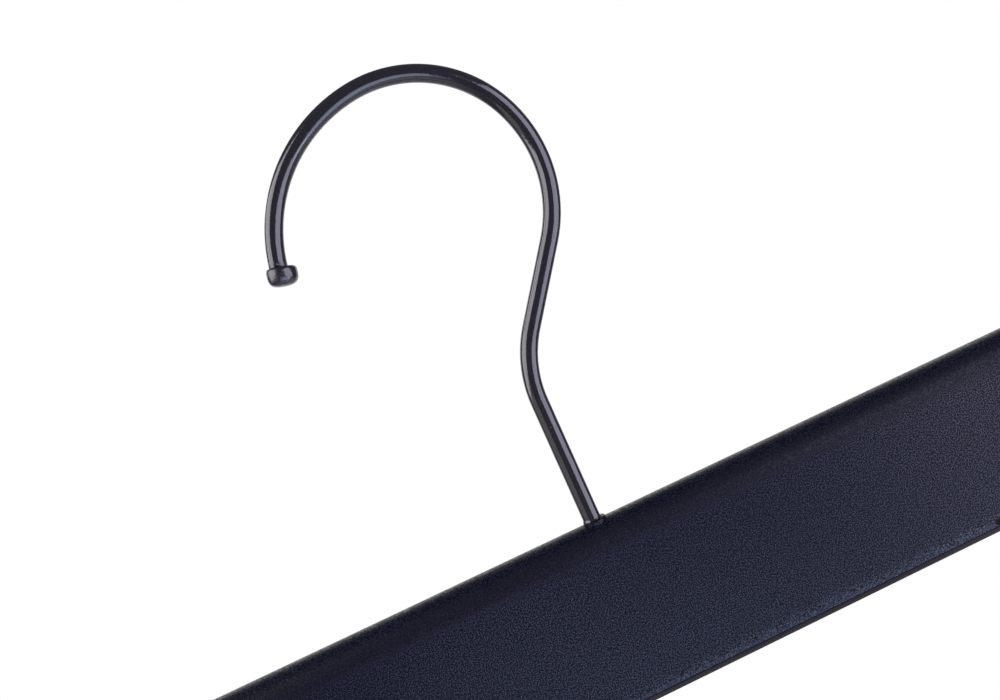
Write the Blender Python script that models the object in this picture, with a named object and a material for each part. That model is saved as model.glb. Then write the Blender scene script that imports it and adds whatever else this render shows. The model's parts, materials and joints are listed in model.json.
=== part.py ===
# Clip hanger: a swivelling wire hook, a ribbed channel bar and two sliding spring clips.
# Metres, +Z up. The bar runs along X and its smooth face looks to -Y.
# The origin is where a rail bears inside the hook, straight above the swivel axis.

import math

import bmesh
import bpy
from mathutils import Vector

# Fits shared by all the pieces
CLEARANCE = 0.0003
OVERRUN = 0.001
SINK = 0.0004
STATION_GAP = 0.00015

# Hook wire, measured along its centreline from the bar's crest
WIRE_DIAMETER = 0.0035
SHANK_RISE = 0.0254
NECK_RADIUS = 0.02344
NECK_SWEEP = math.radians(35.8)
SLANT_LENGTH = 0.0170
FLANK_RADIUS = 0.02646
FLANK_SWEEP = math.radians(60.0)
CROWN_RADIUS = 0.02431
CROWN_SWEEP = math.radians(74.0)
NOSE_RADIUS = 0.03071
NOSE_SWEEP = math.radians(69.5)
BEAD_DIAMETER = 0.0058
BEAD_LENGTH = 0.0034
BEAD_SHIFT = 0.0004
RIVET_HEAD_INSET = 0.0003
RIVET_HEAD_HEIGHT = 0.0018
WASHER_THICKNESS = 0.0008

# Bar: a channel that is open at the back
BAR_LENGTH = 0.350
BAR_HEIGHT = 0.0349
BAR_DEPTH = 0.0100
BAR_END_RADIUS = 0.0035
SKIN = 0.0018
CREST_RADIUS = 0.0050
CREST_BACK_DROP = 0.0032
TOP_WALL = 0.0036
TOP_WALL_DRAFT = 0.0003
CAVITY_FILLET = 0.0018
END_WALL = 0.0025
LIP_HEIGHT = 0.0007
LIP_SETBACK = 0.0003
RAIL_CROWN = 0.0010
GROOVE_HEIGHT = 0.0003
GROOVE_DEPTH = 0.00035
FACE_ROLL_HEIGHT = 0.0035
FACE_ROLL_SETBACK = 0.0002
FACE_EDGE_RADIUS = 0.0004

# Ribs behind the face
RIB_THICKNESS = 0.0014
RIB_SETBACK = 0.0012
BRACE_THICKNESS = 0.0012
BRACE_SETBACK = 0.0018
SHELF_THICKNESS = 0.0014
SHELF_SETBACK = 0.0008
SHELF_LIFT = 0.0004
RIB_PITCH = 0.024

# Hook boss in the bar
BOSS_DIAMETER = 0.0092
BOSS_LENGTH = 0.0104
BOSS_RIB_OFFSET = 0.0090
COLLAR_DIAMETER = 0.0051
COLLAR_HEIGHT = 0.00045

# Slots that the clips slide in
SLOT_INNER = 0.0716
SLOT_END_MARGIN = 0.0090
SLOT_HEIGHT = 0.0016

# Clip: a rear jaw that rides on the bar's rail and a hinged front jaw
TONGUE_WIDTH = 0.0150
TONGUE_THICKNESS = 0.0010
CARRIER_LEG = 0.0013
CARRIER_BRIDGE = 0.0022
CARRIER_EDGE_RADIUS = 0.00035
BARB_HANG = 0.0013
PIVOT_DROP = 0.0160
JAW_WALL = 0.0020
JAW_TOP_WIDTH = 0.0250
JAW_HINGE_WIDTH = 0.0270
JAW_GRIP_WIDTH = 0.0360
JAW_FLANGE = 0.0012
JAW_FLANGE_WALL = 0.0014
JAW_EDGE_CHAMFER = 0.0006
JAW_TOP_CORNER = 0.0030
JAW_GRIP_CORNER = 0.0045
TAB_LENGTH = 0.0125
TAB_ANGLE = math.radians(30.0)
TAB_BEND_RADIUS = 0.0040
JAW_STRAIGHT = 0.0070
JAW_SET_RADIUS = 0.0100
PAD_SEAT_LENGTH = 0.0112
GRIP_RIDGE_COUNT = 4
GRIP_RIDGE_PITCH = 0.0022
GRIP_RIDGE_WIDTH = 0.0010
GRIP_RIDGE_HEIGHT = 0.0005
GRIP_RIDGE_START = 0.0018

# Hinge of a clip
PIN_DIAMETER = 0.0022
PIN_HEAD_DIAMETER = 0.0040
PIN_HEAD_LENGTH = 0.0009
EAR_RADIUS = 0.0030
EAR_FOOT = 0.0042
EAR_THICKNESS = 0.0018
EAR_GAP = 0.0004

# Torsion spring of a clip
SPRING_WIRE = 0.0010
SPRING_RADIUS = 0.0026
SPRING_PITCH = 0.00155
SPRING_WHOLE_TURNS = 4
SPRING_REAR_LEG = 0.0100
SPRING_FRONT_LEG = 0.0105
POINTS_PER_CURL = 9

# Grip pads
PAD_LENGTH = 0.0104
PAD_THICKNESS = 0.0019
PAD_TOOTH_COUNT = 5
PAD_TOOTH_HEIGHT = 0.0005
PAD_END_CHAMFER = 0.0006

# Facets of the round shapes
WIRE_SIDES = 16
ROUND_SIDES = 24
PIN_SIDES = 16
ARC_STEP = math.radians(6.0)
COARSE_STEP = math.radians(15.0)

# Outlines as shares of the sizes that they follow
BEAD_SHARES = ((0.04, 0.74), (0.10, 0.93), (0.22, 1.0), (0.62, 1.0), (0.84, 0.9), (0.96, 0.68), (1.0, 0.4))
RIVET_SHARES = ((0.0, 0.45), (0.22, 0.8), (0.55, 1.0), (0.85, 1.0), (1.0, 0.9))
PIN_HEAD_SHARES = ((0.0, 0.55), (0.35, 0.9), (0.7, 1.0), (1.0, 1.0))
CORNER_SHARES = (0.076, 0.293, 0.617, 1.0)
TOOTH_LAND_SHARE = 0.4
TOOTH_SLOPE_SHARE = 0.3

# Places that follow from the sizes
WIRE_RADIUS = WIRE_DIAMETER / 2
BORE_RADIUS = WIRE_RADIUS + CLEARANCE
FRONT = -BAR_DEPTH / 2
BACK = BAR_DEPTH / 2
RAIL_TOP = -BAR_HEIGHT + LIP_HEIGHT
RAIL_BOTTOM = -BAR_HEIGHT - RAIL_CROWN
BOSS_BOTTOM = -TOP_WALL - BOSS_LENGTH
WASHER_RADIUS = BACK - SKIN - CLEARANCE
RIVET_HEAD_RADIUS = WASHER_RADIUS - RIVET_HEAD_INSET
WASHER_TOP = BOSS_BOTTOM - CLEARANCE
HEAD_TOP = WASHER_TOP - WASHER_THICKNESS - CLEARANCE
SLOT_TOP = RAIL_TOP + SLOT_HEIGHT
SLOT_OUTER = BAR_LENGTH / 2 - SLOT_END_MARGIN
SHELF_BOTTOM = SLOT_TOP + SHELF_LIFT
TONGUE_BOTTOM = RAIL_TOP + CLEARANCE
TONGUE_TOP = TONGUE_BOTTOM + TONGUE_THICKNESS
BRIDGE_TOP = RAIL_BOTTOM - CLEARANCE
BRIDGE_BOTTOM = BRIDGE_TOP - CARRIER_BRIDGE
PIVOT_HEIGHT = BRIDGE_BOTTOM - PIVOT_DROP
JAW_INNER = SPRING_RADIUS + SPRING_WIRE / 2 + CLEARANCE
PAD_SEAT = PAD_THICKNESS + CLEARANCE + CLEARANCE / 2
FLANGE_INSIDE = JAW_HINGE_WIDTH / 2 - JAW_FLANGE_WALL
REAR_EAR_OUTSIDE = FLANGE_INSIDE - EAR_GAP
FRONT_EAR_OUTSIDE = REAR_EAR_OUTSIDE - EAR_THICKNESS - EAR_GAP
CLIP_CENTRE = SLOT_OUTER - SLOT_HEIGHT / 2 - CLEARANCE - TONGUE_WIDTH / 2


def clear_scene():
    """Removes whatever the new file holds."""
    for thing in list(bpy.data.objects):
        bpy.data.objects.remove(thing)


def finish_material(name, colour, roughness, metallic):
    """Makes a plain finish for one kind of piece."""
    finish = bpy.data.materials.new(name)
    finish.use_nodes = True
    shader = finish.node_tree.nodes["Principled BSDF"]
    shader.inputs["Base Color"].default_value = (*colour, 1.0)
    shader.inputs["Roughness"].default_value = roughness
    shader.inputs["Metallic"].default_value = metallic
    return finish


def object_from_bmesh(name, form):
    """Closes a bmesh into an object with its faces turned outwards."""
    bmesh.ops.recalc_face_normals(form, faces=form.faces)
    mesh = bpy.data.meshes.new(name)
    form.to_mesh(mesh)
    form.free()
    thing = bpy.data.objects.new(name, mesh)
    bpy.context.scene.collection.objects.link(thing)
    return thing


def loft(name, loops):
    """Skins closed loops of equal length, one after another, and caps both ends."""
    form = bmesh.new()
    rings = [[form.verts.new(point) for point in loop] for loop in loops]
    for low, high in zip(rings, rings[1:]):
        for i in range(len(low)):
            j = (i + 1) % len(low)
            form.faces.new((low[i], low[j], high[j], high[i]))
    form.faces.new(rings[0])
    form.faces.new(rings[-1])
    return object_from_bmesh(name, form)


def prism_x(name, outline, low, high):
    """Extrudes an outline of (y, z) points along X."""
    return loft(name, [[(x, y, z) for y, z in outline] for x in (low, high)])


def prism_y(name, outline, low, high):
    """Extrudes an outline of (x, z) points along Y."""
    return loft(name, [[(x, y, z) for x, z in outline] for y in (low, high)])


def turned(name, profile, axis, sides):
    """Turns (place along the axis, radius) points about X or Z."""
    loops = []
    for place, radius in profile:
        turns = [math.tau * i / sides for i in range(sides)]
        ring = [(radius * math.cos(turn), radius * math.sin(turn)) for turn in turns]
        loops.append([(place, a, b) if axis == "X" else (a, b, place) for a, b in ring])
    return loft(name, loops)


def combine(target, tool, operation):
    """Joins a tool to the target or cuts it out, and removes the tool."""
    step = target.modifiers.new(operation.lower(), "BOOLEAN")
    step.solver = "EXACT"
    step.operation = operation
    step.object = tool
    bpy.context.view_layer.objects.active = target
    bpy.ops.object.modifier_apply(modifier=step.name)
    bpy.data.objects.remove(tool)


def dress(thing, finish, sharp=math.radians(35.0)):
    """Gives a finished piece its material and its smooth shading."""
    thing.data.materials.clear()
    thing.data.materials.append(finish)
    thing.data.shade_smooth()
    thing.data.set_sharp_from_angle(angle=sharp)
    return thing


def arc(centre, radius, start, end, step):
    """Points along an arc in a plane, with both ends."""
    count = max(1, math.ceil(abs(end - start) / step))
    turns = [start + (end - start) * i / count for i in range(count + 1)]
    return [(centre[0] + radius * math.cos(turn), centre[1] + radius * math.sin(turn)) for turn in turns]


def rounded(outline, radius, step):
    """Replaces each corner of a closed outline by a small arc."""
    points = []
    for i, corner in enumerate(outline):
        here = Vector(corner)
        arms = [(Vector(outline[j]) - here).normalized() for j in (i - 1, (i + 1) % len(outline))]
        half_angle = arms[0].angle(arms[1]) / 2
        centre = here + (arms[0] + arms[1]).normalized() * (radius / math.sin(half_angle))
        feet = [here + arm * (radius / math.tan(half_angle)) - centre for arm in arms]
        turn = feet[0].angle_signed(feet[1])
        count = max(1, math.ceil(abs(turn) / step))
        for k in range(count + 1):
            angle = turn * k / count
            cos, sin = math.cos(angle), math.sin(angle)
            x, y = feet[0]
            points.append((centre.x + x * cos + y * sin, centre.y - x * sin + y * cos))
    return points


def trace(start, heading, runs, step):
    """Follows straight runs (length,) and arcs (radius, signed sweep) that join smoothly.

    It gives (a, b, heading) at each end of a run and along each arc.
    """
    a, b = start
    stations = [(a, b, heading)]
    for run in runs:
        if len(run) == 1:
            a += run[0] * math.cos(heading)
            b += run[0] * math.sin(heading)
            stations.append((a, b, heading))
            continue
        radius, sweep = run
        side = math.copysign(1, sweep)
        centre = (a - side * radius * math.sin(heading), b + side * radius * math.cos(heading))
        count = max(1, math.ceil(abs(sweep) / step))
        for i in range(1, count + 1):
            turn = heading + sweep * i / count
            point = (centre[0] + side * radius * math.sin(turn), centre[1] - side * radius * math.cos(turn))
            stations.append((*point, turn))
        a, b, heading = stations[-1]
    return stations


def hook_runs():
    """The hook's straight runs and bends, from the crest to the bead."""
    return (
        (SHANK_RISE,),
        (NECK_RADIUS, -NECK_SWEEP),
        (SLANT_LENGTH,),
        (FLANK_RADIUS, FLANK_SWEEP),
        (CROWN_RADIUS, CROWN_SWEEP),
        (NOSE_RADIUS, NOSE_SWEEP),
    )


def rail_seat_height():
    """Height over the crest of the crown's inner side, straight above the swivel axis."""
    crown_start = hook_runs()[:4]
    x, z, heading = trace((0, 0), math.pi / 2, crown_start, ARC_STEP)[-1]
    centre_x = x - CROWN_RADIUS * math.sin(heading)
    centre_z = z + CROWN_RADIUS * math.cos(heading)
    return centre_z + math.sqrt((CROWN_RADIUS - WIRE_RADIUS) ** 2 - centre_x**2)


def tube_loop(x, z, heading, radius, shift):
    """One ring of the hook's surface, square to the wire."""
    across = Vector((math.sin(heading), 0, -math.cos(heading)))
    middle = Vector((x, 0, z)) - across * shift
    turns = [math.tau * i / WIRE_SIDES for i in range(WIRE_SIDES)]
    return [middle + across * radius * math.cos(t) + Vector((0, radius * math.sin(t), 0)) for t in turns]


def make_hook():
    """The wire with its riveted foot, bends and upset bead, as one skin."""
    loops = []
    head_bottom = HEAD_TOP - RIVET_HEAD_HEIGHT
    for height_share, radius_share in RIVET_SHARES:
        height = head_bottom + RIVET_HEAD_HEIGHT * height_share
        radius = RIVET_HEAD_RADIUS * radius_share
        loops.append(tube_loop(0, height, math.pi / 2, radius, 0))
    loops.append(tube_loop(0, HEAD_TOP, math.pi / 2, WIRE_RADIUS, 0))
    route = trace((0, 0), math.pi / 2, hook_runs(), ARC_STEP)
    for x, z, heading in route:
        loops.append(tube_loop(x, z, heading, WIRE_RADIUS, 0))
    x, z, heading = route[-1]
    for length_share, radius_share in BEAD_SHARES:
        along = BEAD_LENGTH * length_share
        centre = (x + along * math.cos(heading), z + along * math.sin(heading))
        radius = BEAD_DIAMETER / 2 * radius_share
        loops.append(tube_loop(*centre, heading, radius, BEAD_SHIFT))
    return loft("hook", loops)


def make_washer():
    """The flat ring that spreads the hook's pull under the boss."""
    washer = turned(
        "retaining_washer",
        ((WASHER_TOP - WASHER_THICKNESS, WASHER_RADIUS), (WASHER_TOP, WASHER_RADIUS)),
        "Z",
        ROUND_SIDES,
    )
    low = WASHER_TOP - WASHER_THICKNESS - OVERRUN
    hole = turned("washer_hole", ((low, BORE_RADIUS), (WASHER_TOP + OVERRUN, BORE_RADIUS)), "Z", ROUND_SIDES)
    combine(washer, hole, "DIFFERENCE")
    return washer


def bar_section():
    """The bar's outer outline in (y, z), from the lip round over the crest to the back."""
    lip = FRONT + LIP_SETBACK
    face_bottom = RAIL_TOP + GROOVE_HEIGHT
    edge_front = FRONT + FACE_ROLL_SETBACK
    crown_radius = (BACK**2 + RAIL_CROWN**2) / (2 * RAIL_CROWN)
    crown_turn = math.asin(BACK / crown_radius)
    crown_centre = (0, RAIL_BOTTOM + crown_radius)
    crown = arc(crown_centre, crown_radius, crown_turn - math.pi / 2, -crown_turn - math.pi / 2, ARC_STEP)
    edge_centre = (edge_front + FACE_EDGE_RADIUS, face_bottom + FACE_EDGE_RADIUS)
    crest = arc((0, -CREST_RADIUS), CREST_RADIUS, math.pi, math.pi / 2, COARSE_STEP)
    rear = arc((0, 0), 1, math.pi / 2, 0, COARSE_STEP)[1:]
    return (
        crown[:-1]
        + [(lip, -BAR_HEIGHT), (lip, RAIL_TOP)]
        + [(lip + GROOVE_DEPTH, RAIL_TOP), (lip + GROOVE_DEPTH, face_bottom)]
        + arc(edge_centre, FACE_EDGE_RADIUS, -math.pi / 2, -math.pi, COARSE_STEP * 2)
        + [(FRONT, face_bottom + FACE_ROLL_HEIGHT)]
        + crest
        + [(BACK * a, CREST_BACK_DROP * (b - 1)) for a, b in rear]
    )


def bar_body():
    """The bar's outer form, drawn in smoothly at both ends."""
    section = bar_section()
    middle = -BAR_HEIGHT / 2
    insets = arc((0, 0), BAR_END_RADIUS, 0, math.pi / 2, COARSE_STEP * 2)
    ends = [(BAR_LENGTH / 2 - BAR_END_RADIUS + rise, BAR_END_RADIUS - near) for near, rise in insets]
    loops = []
    for x, inset in [(-x, inset) for x, inset in reversed(ends)] + ends:
        depth_scale = 1 - inset / BACK
        height_scale = 1 - inset / (BAR_HEIGHT / 2)
        loops.append([(x, y * depth_scale, middle + (z - middle) * height_scale) for y, z in section])
    return loft("bar", loops)


def bar_cavity():
    """The channel's hollow, open at the back, with a thicker top wall."""
    inner_front = FRONT + SKIN
    top = -TOP_WALL
    fillet_centre = (inner_front + CAVITY_FILLET, top - CAVITY_FILLET)
    outline = [(inner_front, RAIL_TOP)]
    outline += arc(fillet_centre, CAVITY_FILLET, math.pi, math.pi / 2, COARSE_STEP * 2)
    outline += [(BACK + OVERRUN, top + TOP_WALL_DRAFT), (BACK + OVERRUN, RAIL_TOP)]
    reach = BAR_LENGTH / 2 - END_WALL
    return prism_x("cavity", outline, -reach, reach)


def rib_places():
    """Distances of the upright ribs from the middle of the bar, on one side."""
    reach = BAR_LENGTH / 2 - END_WALL
    bays = max(1, round((reach - BOSS_RIB_OFFSET) / RIB_PITCH))
    return [BOSS_RIB_OFFSET + (reach - BOSS_RIB_OFFSET) * i / bays for i in range(bays + 1)]


def rib(name, ends, half_width, setback):
    """A flat rib behind the face, between two (x, z) ends that are cut level."""
    (top_x, top_z), (low_x, low_z) = ends
    outline = (
        (top_x - half_width, top_z),
        (top_x + half_width, top_z),
        (low_x + half_width, low_z),
        (low_x - half_width, low_z),
    )
    return prism_y(name, outline, FRONT + SKIN - SINK, BACK - setback)


def add_ribs(bar):
    """Joins uprights, braces and slot shelves to the back of the face."""
    places = rib_places()
    reach = BAR_LENGTH / 2 - END_WALL
    top = -TOP_WALL + SINK
    shelf_start = max([place for place in places if place < SLOT_INNER - SLOT_HEIGHT] or [BOSS_RIB_OFFSET])
    for side in (-1, 1):
        low, high = sorted((side * shelf_start, side * (reach + SINK)))
        outline = (
            (low, SHELF_BOTTOM),
            (high, SHELF_BOTTOM),
            (high, SHELF_BOTTOM + SHELF_THICKNESS),
            (low, SHELF_BOTTOM + SHELF_THICKNESS),
        )
        combine(bar, prism_y("shelf", outline, FRONT + SKIN - SINK, BACK - SHELF_SETBACK), "UNION")
        for i, place in enumerate(places[:-1]):
            over_shelf = place > shelf_start
            foot = SHELF_BOTTOM + SHELF_THICKNESS - SINK if over_shelf else RAIL_TOP - SINK
            upright = rib("upright", ((side * place, top), (side * place, foot)), RIB_THICKNESS / 2, RIB_SETBACK)
            combine(bar, upright, "UNION")
            brace_foot = SHELF_BOTTOM + SHELF_THICKNESS - SINK if place >= shelf_start else RAIL_TOP - SINK
            near, far = side * place, side * places[i + 1]
            top_x, low_x = (near, far) if i % 2 else (far, near)
            lean = math.atan2(top - brace_foot, abs(far - near))
            half_width = BRACE_THICKNESS / 2 / math.sin(lean)
            brace = rib("brace", ((top_x, top), (low_x, brace_foot)), half_width, BRACE_SETBACK)
            combine(bar, brace, "UNION")


def add_hook_boss(bar):
    """Joins the boss and the low collar, then bores them for the wire."""
    boss_top = -TOP_WALL + SINK
    boss = turned(
        "boss", ((BOSS_BOTTOM, BOSS_DIAMETER / 2), (boss_top, BOSS_DIAMETER / 2)), "Z", ROUND_SIDES
    )
    combine(bar, boss, "UNION")
    collar_foot = -CREST_RADIUS / 2
    collar_edge = COLLAR_HEIGHT / 2
    collar = turned(
        "collar",
        (
            (collar_foot, COLLAR_DIAMETER / 2),
            (COLLAR_HEIGHT - collar_edge, COLLAR_DIAMETER / 2),
            (COLLAR_HEIGHT, COLLAR_DIAMETER / 2 - collar_edge / 2),
        ),
        "Z",
        ROUND_SIDES,
    )
    combine(bar, collar, "UNION")
    bore = turned(
        "bore",
        ((BOSS_BOTTOM - OVERRUN, BORE_RADIUS), (COLLAR_HEIGHT + OVERRUN, BORE_RADIUS)),
        "Z",
        ROUND_SIDES,
    )
    combine(bar, bore, "DIFFERENCE")


def cut_slots(bar):
    """Cuts the round-ended slots through the face, just over the rail."""
    radius = SLOT_HEIGHT / 2
    middle = RAIL_TOP + radius
    for side in (-1, 1):
        low, high = sorted((side * SLOT_INNER, side * SLOT_OUTER))
        outline = arc((low + radius, middle), radius, math.pi * 1.5, math.pi / 2, COARSE_STEP)
        outline += arc((high - radius, middle), radius, math.pi / 2, -math.pi / 2, COARSE_STEP)
        combine(bar, prism_y("slot", outline, FRONT - OVERRUN, FRONT + SKIN + OVERRUN), "DIFFERENCE")


def make_bar():
    """The one-piece moulding that carries the hook and the clips."""
    bar = bar_body()
    combine(bar, bar_cavity(), "DIFFERENCE")
    add_ribs(bar)
    add_hook_boss(bar)
    cut_slots(bar)
    return bar


def rounded_half(half, edge, corner):
    """Half width near a rounded corner, at a distance from the edge that it ends in."""
    if edge >= corner:
        return half
    return half - corner + math.sqrt(corner**2 - (corner - edge) ** 2)


def grip_half(edge):
    """Half width of a jaw's grip at a distance from its lower edge."""
    return rounded_half(JAW_GRIP_WIDTH / 2, edge, JAW_GRIP_CORNER)


def jaw_half(station, total):
    """Half width of a jaw at a distance down its inner side."""
    grip = total - PAD_SEAT_LENGTH
    hinge = grip - JAW_STRAIGHT
    if station >= grip:
        return grip_half(total - station)
    if station >= hinge:
        blend = (1 - math.cos(math.pi * (station - hinge) / JAW_STRAIGHT)) / 2
        return (JAW_HINGE_WIDTH + (JAW_GRIP_WIDTH - JAW_HINGE_WIDTH) * blend) / 2
    ears = hinge - 2 * EAR_FOOT
    half = (JAW_TOP_WIDTH + (JAW_HINGE_WIDTH - JAW_TOP_WIDTH) * min(1, station / ears)) / 2
    return rounded_half(half, station, JAW_TOP_CORNER)


def jaw_loop(y, z, heading, side, half, wall):
    """A jaw's cross-section: a shallow tray whose flanges turn towards the other jaw."""
    outward = Vector((0, side * -math.sin(heading), side * math.cos(heading)))
    chamfer = JAW_EDGE_CHAMFER
    inside = half - JAW_FLANGE_WALL
    tray = (
        (-half, -JAW_FLANGE),
        (-half, wall - chamfer),
        (chamfer - half, wall),
        (half - chamfer, wall),
        (half, wall - chamfer),
        (half, -JAW_FLANGE),
        (inside, -JAW_FLANGE),
        (inside, 0),
        (-inside, 0),
        (-inside, -JAW_FLANGE),
    )
    base = Vector((0, y, z))
    return [base + Vector((x, 0, 0)) + outward * rise for x, rise in tray]


def ridge_stations():
    """Distances down a jaw at each finger ridge's feet and land, with the rise there."""
    stations = []
    for i in range(GRIP_RIDGE_COUNT):
        middle = GRIP_RIDGE_START + GRIP_RIDGE_PITCH * (i + 0.5)
        for share, rise in ((-0.5, 0), (-0.25, 1), (0.25, 1), (0.5, 0)):
            stations.append((middle + GRIP_RIDGE_WIDTH * share, GRIP_RIDGE_HEIGHT * rise))
    return stations


def jaw_stations(path, total):
    """Distances down the jaw at which it has a cross-section, with the ridges' rise."""
    plain = [0, total]
    walked = 0
    for (y0, z0, _), (y1, z1, _) in zip(path, path[1:]):
        walked += math.hypot(y1 - y0, z1 - z0)
        plain.append(min(walked, total))
    for share in CORNER_SHARES:
        plain.append(JAW_TOP_CORNER * share)
        plain.append(total - JAW_GRIP_CORNER * share)
    ridges = ridge_stations()
    taken = [distance for distance, _ in ridges]
    kept = []
    for distance in sorted(plain):
        clear_of_ridges = not taken or distance < taken[0] or distance > taken[-1]
        if clear_of_ridges and all(abs(distance - other) > STATION_GAP for other in kept + taken):
            kept.append(distance)
    return sorted([(distance, 0) for distance in kept] + ridges)


def place_on_path(path, distance):
    """Point and heading at a distance down a traced path."""
    walked = 0
    for (y0, z0, h0), (y1, z1, h1) in zip(path, path[1:]):
        run = math.hypot(y1 - y0, z1 - z0)
        if walked + run >= distance or (y1, z1, h1) == path[-1]:
            share = min(1, (distance - walked) / run)
            return y0 + (y1 - y0) * share, z0 + (z1 - z0) * share, h0 + (h1 - h0) * share
        walked += run
    return path[-1]


def jaw_shell(name, path, side):
    """Skins a jaw along its inner side; side is 1 behind the hinge and -1 before it."""
    total = sum(math.hypot(b[0] - a[0], b[1] - a[1]) for a, b in zip(path, path[1:]))
    loops = []
    for distance, rise in jaw_stations(path, total):
        y, z, heading = place_on_path(path, distance)
        half = jaw_half(distance, total)
        loops.append(jaw_loop(y, z, heading, side, half, JAW_WALL + rise))
    return loft(name, loops)


def grip_runs(side):
    """The lower part of a jaw: straight past the spring, then set in to the pad's seat."""
    shift = JAW_INNER - PAD_SEAT
    sweep = math.acos(1 - shift / (2 * JAW_SET_RADIUS))
    return (
        (JAW_STRAIGHT,),
        (JAW_SET_RADIUS, -side * sweep),
        (JAW_SET_RADIUS, side * sweep),
        (PAD_SEAT_LENGTH,),
    )


def ear(side, outside, lean):
    """A hinge ear, round about the pin, whose foot follows the jaw's inner side."""
    bend_height = -JAW_INNER * math.tan(lean / 2)
    low_foot = side * (JAW_INNER + SINK)
    high_foot = side * (JAW_INNER + SINK + (EAR_FOOT - bend_height) * math.tan(lean))
    nose = arc((0, 0), EAR_RADIUS, math.pi / 2, math.pi / 2 + side * math.pi, COARSE_STEP * 2)
    outline = [(high_foot, EAR_FOOT)] + nose + [(low_foot, -EAR_FOOT)]
    return prism_x("ear", outline, outside - EAR_THICKNESS, outside)


def add_ears(jaw, side, outside, lean):
    """Joins both ears to a jaw and bores them for the pin."""
    for place in (outside, EAR_THICKNESS - outside):
        combine(jaw, ear(side, place, lean), "UNION")
    reach = JAW_HINGE_WIDTH / 2 + OVERRUN
    radius = PIN_DIAMETER / 2 + CLEARANCE
    combine(jaw, turned("pin_hole", ((-reach, radius), (reach, radius)), "X", ROUND_SIDES), "DIFFERENCE")


def carrier_outline():
    """The hooked carrier that wraps the rail, in (y, z) from the clip's pivot."""
    front_in = FRONT - CLEARANCE
    front_out = front_in - CARRIER_LEG
    back_in = BACK + CLEARANCE
    back_out = back_in + CARRIER_LEG
    barb_bottom = TONGUE_BOTTOM - BARB_HANG
    stub_top = barb_bottom - CLEARANCE
    points = (
        (front_out, BRIDGE_BOTTOM),
        (front_out, TONGUE_TOP),
        (back_out, TONGUE_TOP),
        (back_out, barb_bottom),
        (back_in, barb_bottom),
        (back_in, TONGUE_BOTTOM),
        (front_in, TONGUE_BOTTOM),
        (front_in, BRIDGE_TOP),
        (back_in, BRIDGE_TOP),
        (back_in, stub_top),
        (back_out, stub_top),
        (back_out, BRIDGE_BOTTOM),
    )
    return rounded([(y, z - PIVOT_HEIGHT) for y, z in points], CARRIER_EDGE_RADIUS, COARSE_STEP * 3)


def make_rear_jaw():
    """The jaw that rides on the rail, about the clip's pivot."""
    top = (JAW_INNER, PIVOT_DROP + CARRIER_BRIDGE / 2)
    path = trace(top, -math.pi / 2, ((top[1] + EAR_FOOT,),) + grip_runs(1), COARSE_STEP / 2)
    jaw = jaw_shell("rear_jaw", path, 1)
    carrier = prism_x("carrier", carrier_outline(), -TONGUE_WIDTH / 2, TONGUE_WIDTH / 2)
    combine(jaw, carrier, "UNION")
    add_ears(jaw, 1, REAR_EAR_OUTSIDE, 0)
    return jaw


def make_front_jaw():
    """The hinged jaw with its finger tab, about the clip's pivot."""
    corner_drop = JAW_INNER * math.tan(TAB_ANGLE / 2)
    cut_back = TAB_BEND_RADIUS * math.tan(TAB_ANGLE / 2)
    top = (
        -JAW_INNER - (TAB_LENGTH + cut_back) * math.sin(TAB_ANGLE),
        -corner_drop + (TAB_LENGTH + cut_back) * math.cos(TAB_ANGLE),
    )
    lead = EAR_FOOT - corner_drop - cut_back
    runs = ((TAB_LENGTH,), (TAB_BEND_RADIUS, -TAB_ANGLE), (lead,)) + grip_runs(-1)
    path = trace(top, TAB_ANGLE - math.pi / 2, runs, COARSE_STEP / 2)
    jaw = jaw_shell("front_jaw", path, -1)
    add_ears(jaw, -1, FRONT_EAR_OUTSIDE, TAB_ANGLE)
    return jaw


def make_pin():
    """The hinge pin, riveted over at both ends."""
    half = REAR_EAR_OUTSIDE + CLEARANCE
    profile = []
    for side in (-1, 1):
        head = []
        for length_share, radius_share in PIN_HEAD_SHARES:
            place = half + PIN_HEAD_LENGTH * (1 - length_share)
            head.append((side * place, PIN_HEAD_DIAMETER / 2 * radius_share))
        head.append((side * half, PIN_DIAMETER / 2))
        profile += head if side < 0 else reversed(head)
    return turned("hinge_pin", profile, "X", PIN_SIDES)


def spring_points():
    """Centreline of the torsion spring about the pivot: rear leg, curls, front leg."""
    sweep = math.tau * SPRING_WHOLE_TURNS + math.pi - TAB_ANGLE
    length = SPRING_PITCH * sweep / math.tau
    start = -length / 2
    points = [Vector((start, SPRING_RADIUS, SPRING_REAR_LEG * share)) for share in (1, 0.5)]
    count = math.ceil(POINTS_PER_CURL * sweep / math.tau)
    for i in range(count + 1):
        turn = -sweep * i / count
        along = start + length * i / count
        points.append(Vector((along, SPRING_RADIUS * math.cos(turn), SPRING_RADIUS * math.sin(turn))))
    lean = Vector((0, -math.sin(TAB_ANGLE), math.cos(TAB_ANGLE)))
    end = points[-1]
    points += [end + lean * SPRING_FRONT_LEG * share for share in (0.5, 1)]
    return points


def least_gap(points, wire, skip):
    """Least distance between stretches of the wire that aren't neighbours."""
    middles = []
    for a, b in zip(points, points[1:]):
        middles += [a.lerp(b, share / 4) for share in range(4)]
    ahead = skip * 4
    least = min(
        (middles[i] - middles[j]).length
        for i in range(len(middles))
        for j in range(i + ahead, len(middles))
    )
    return least - wire


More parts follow.
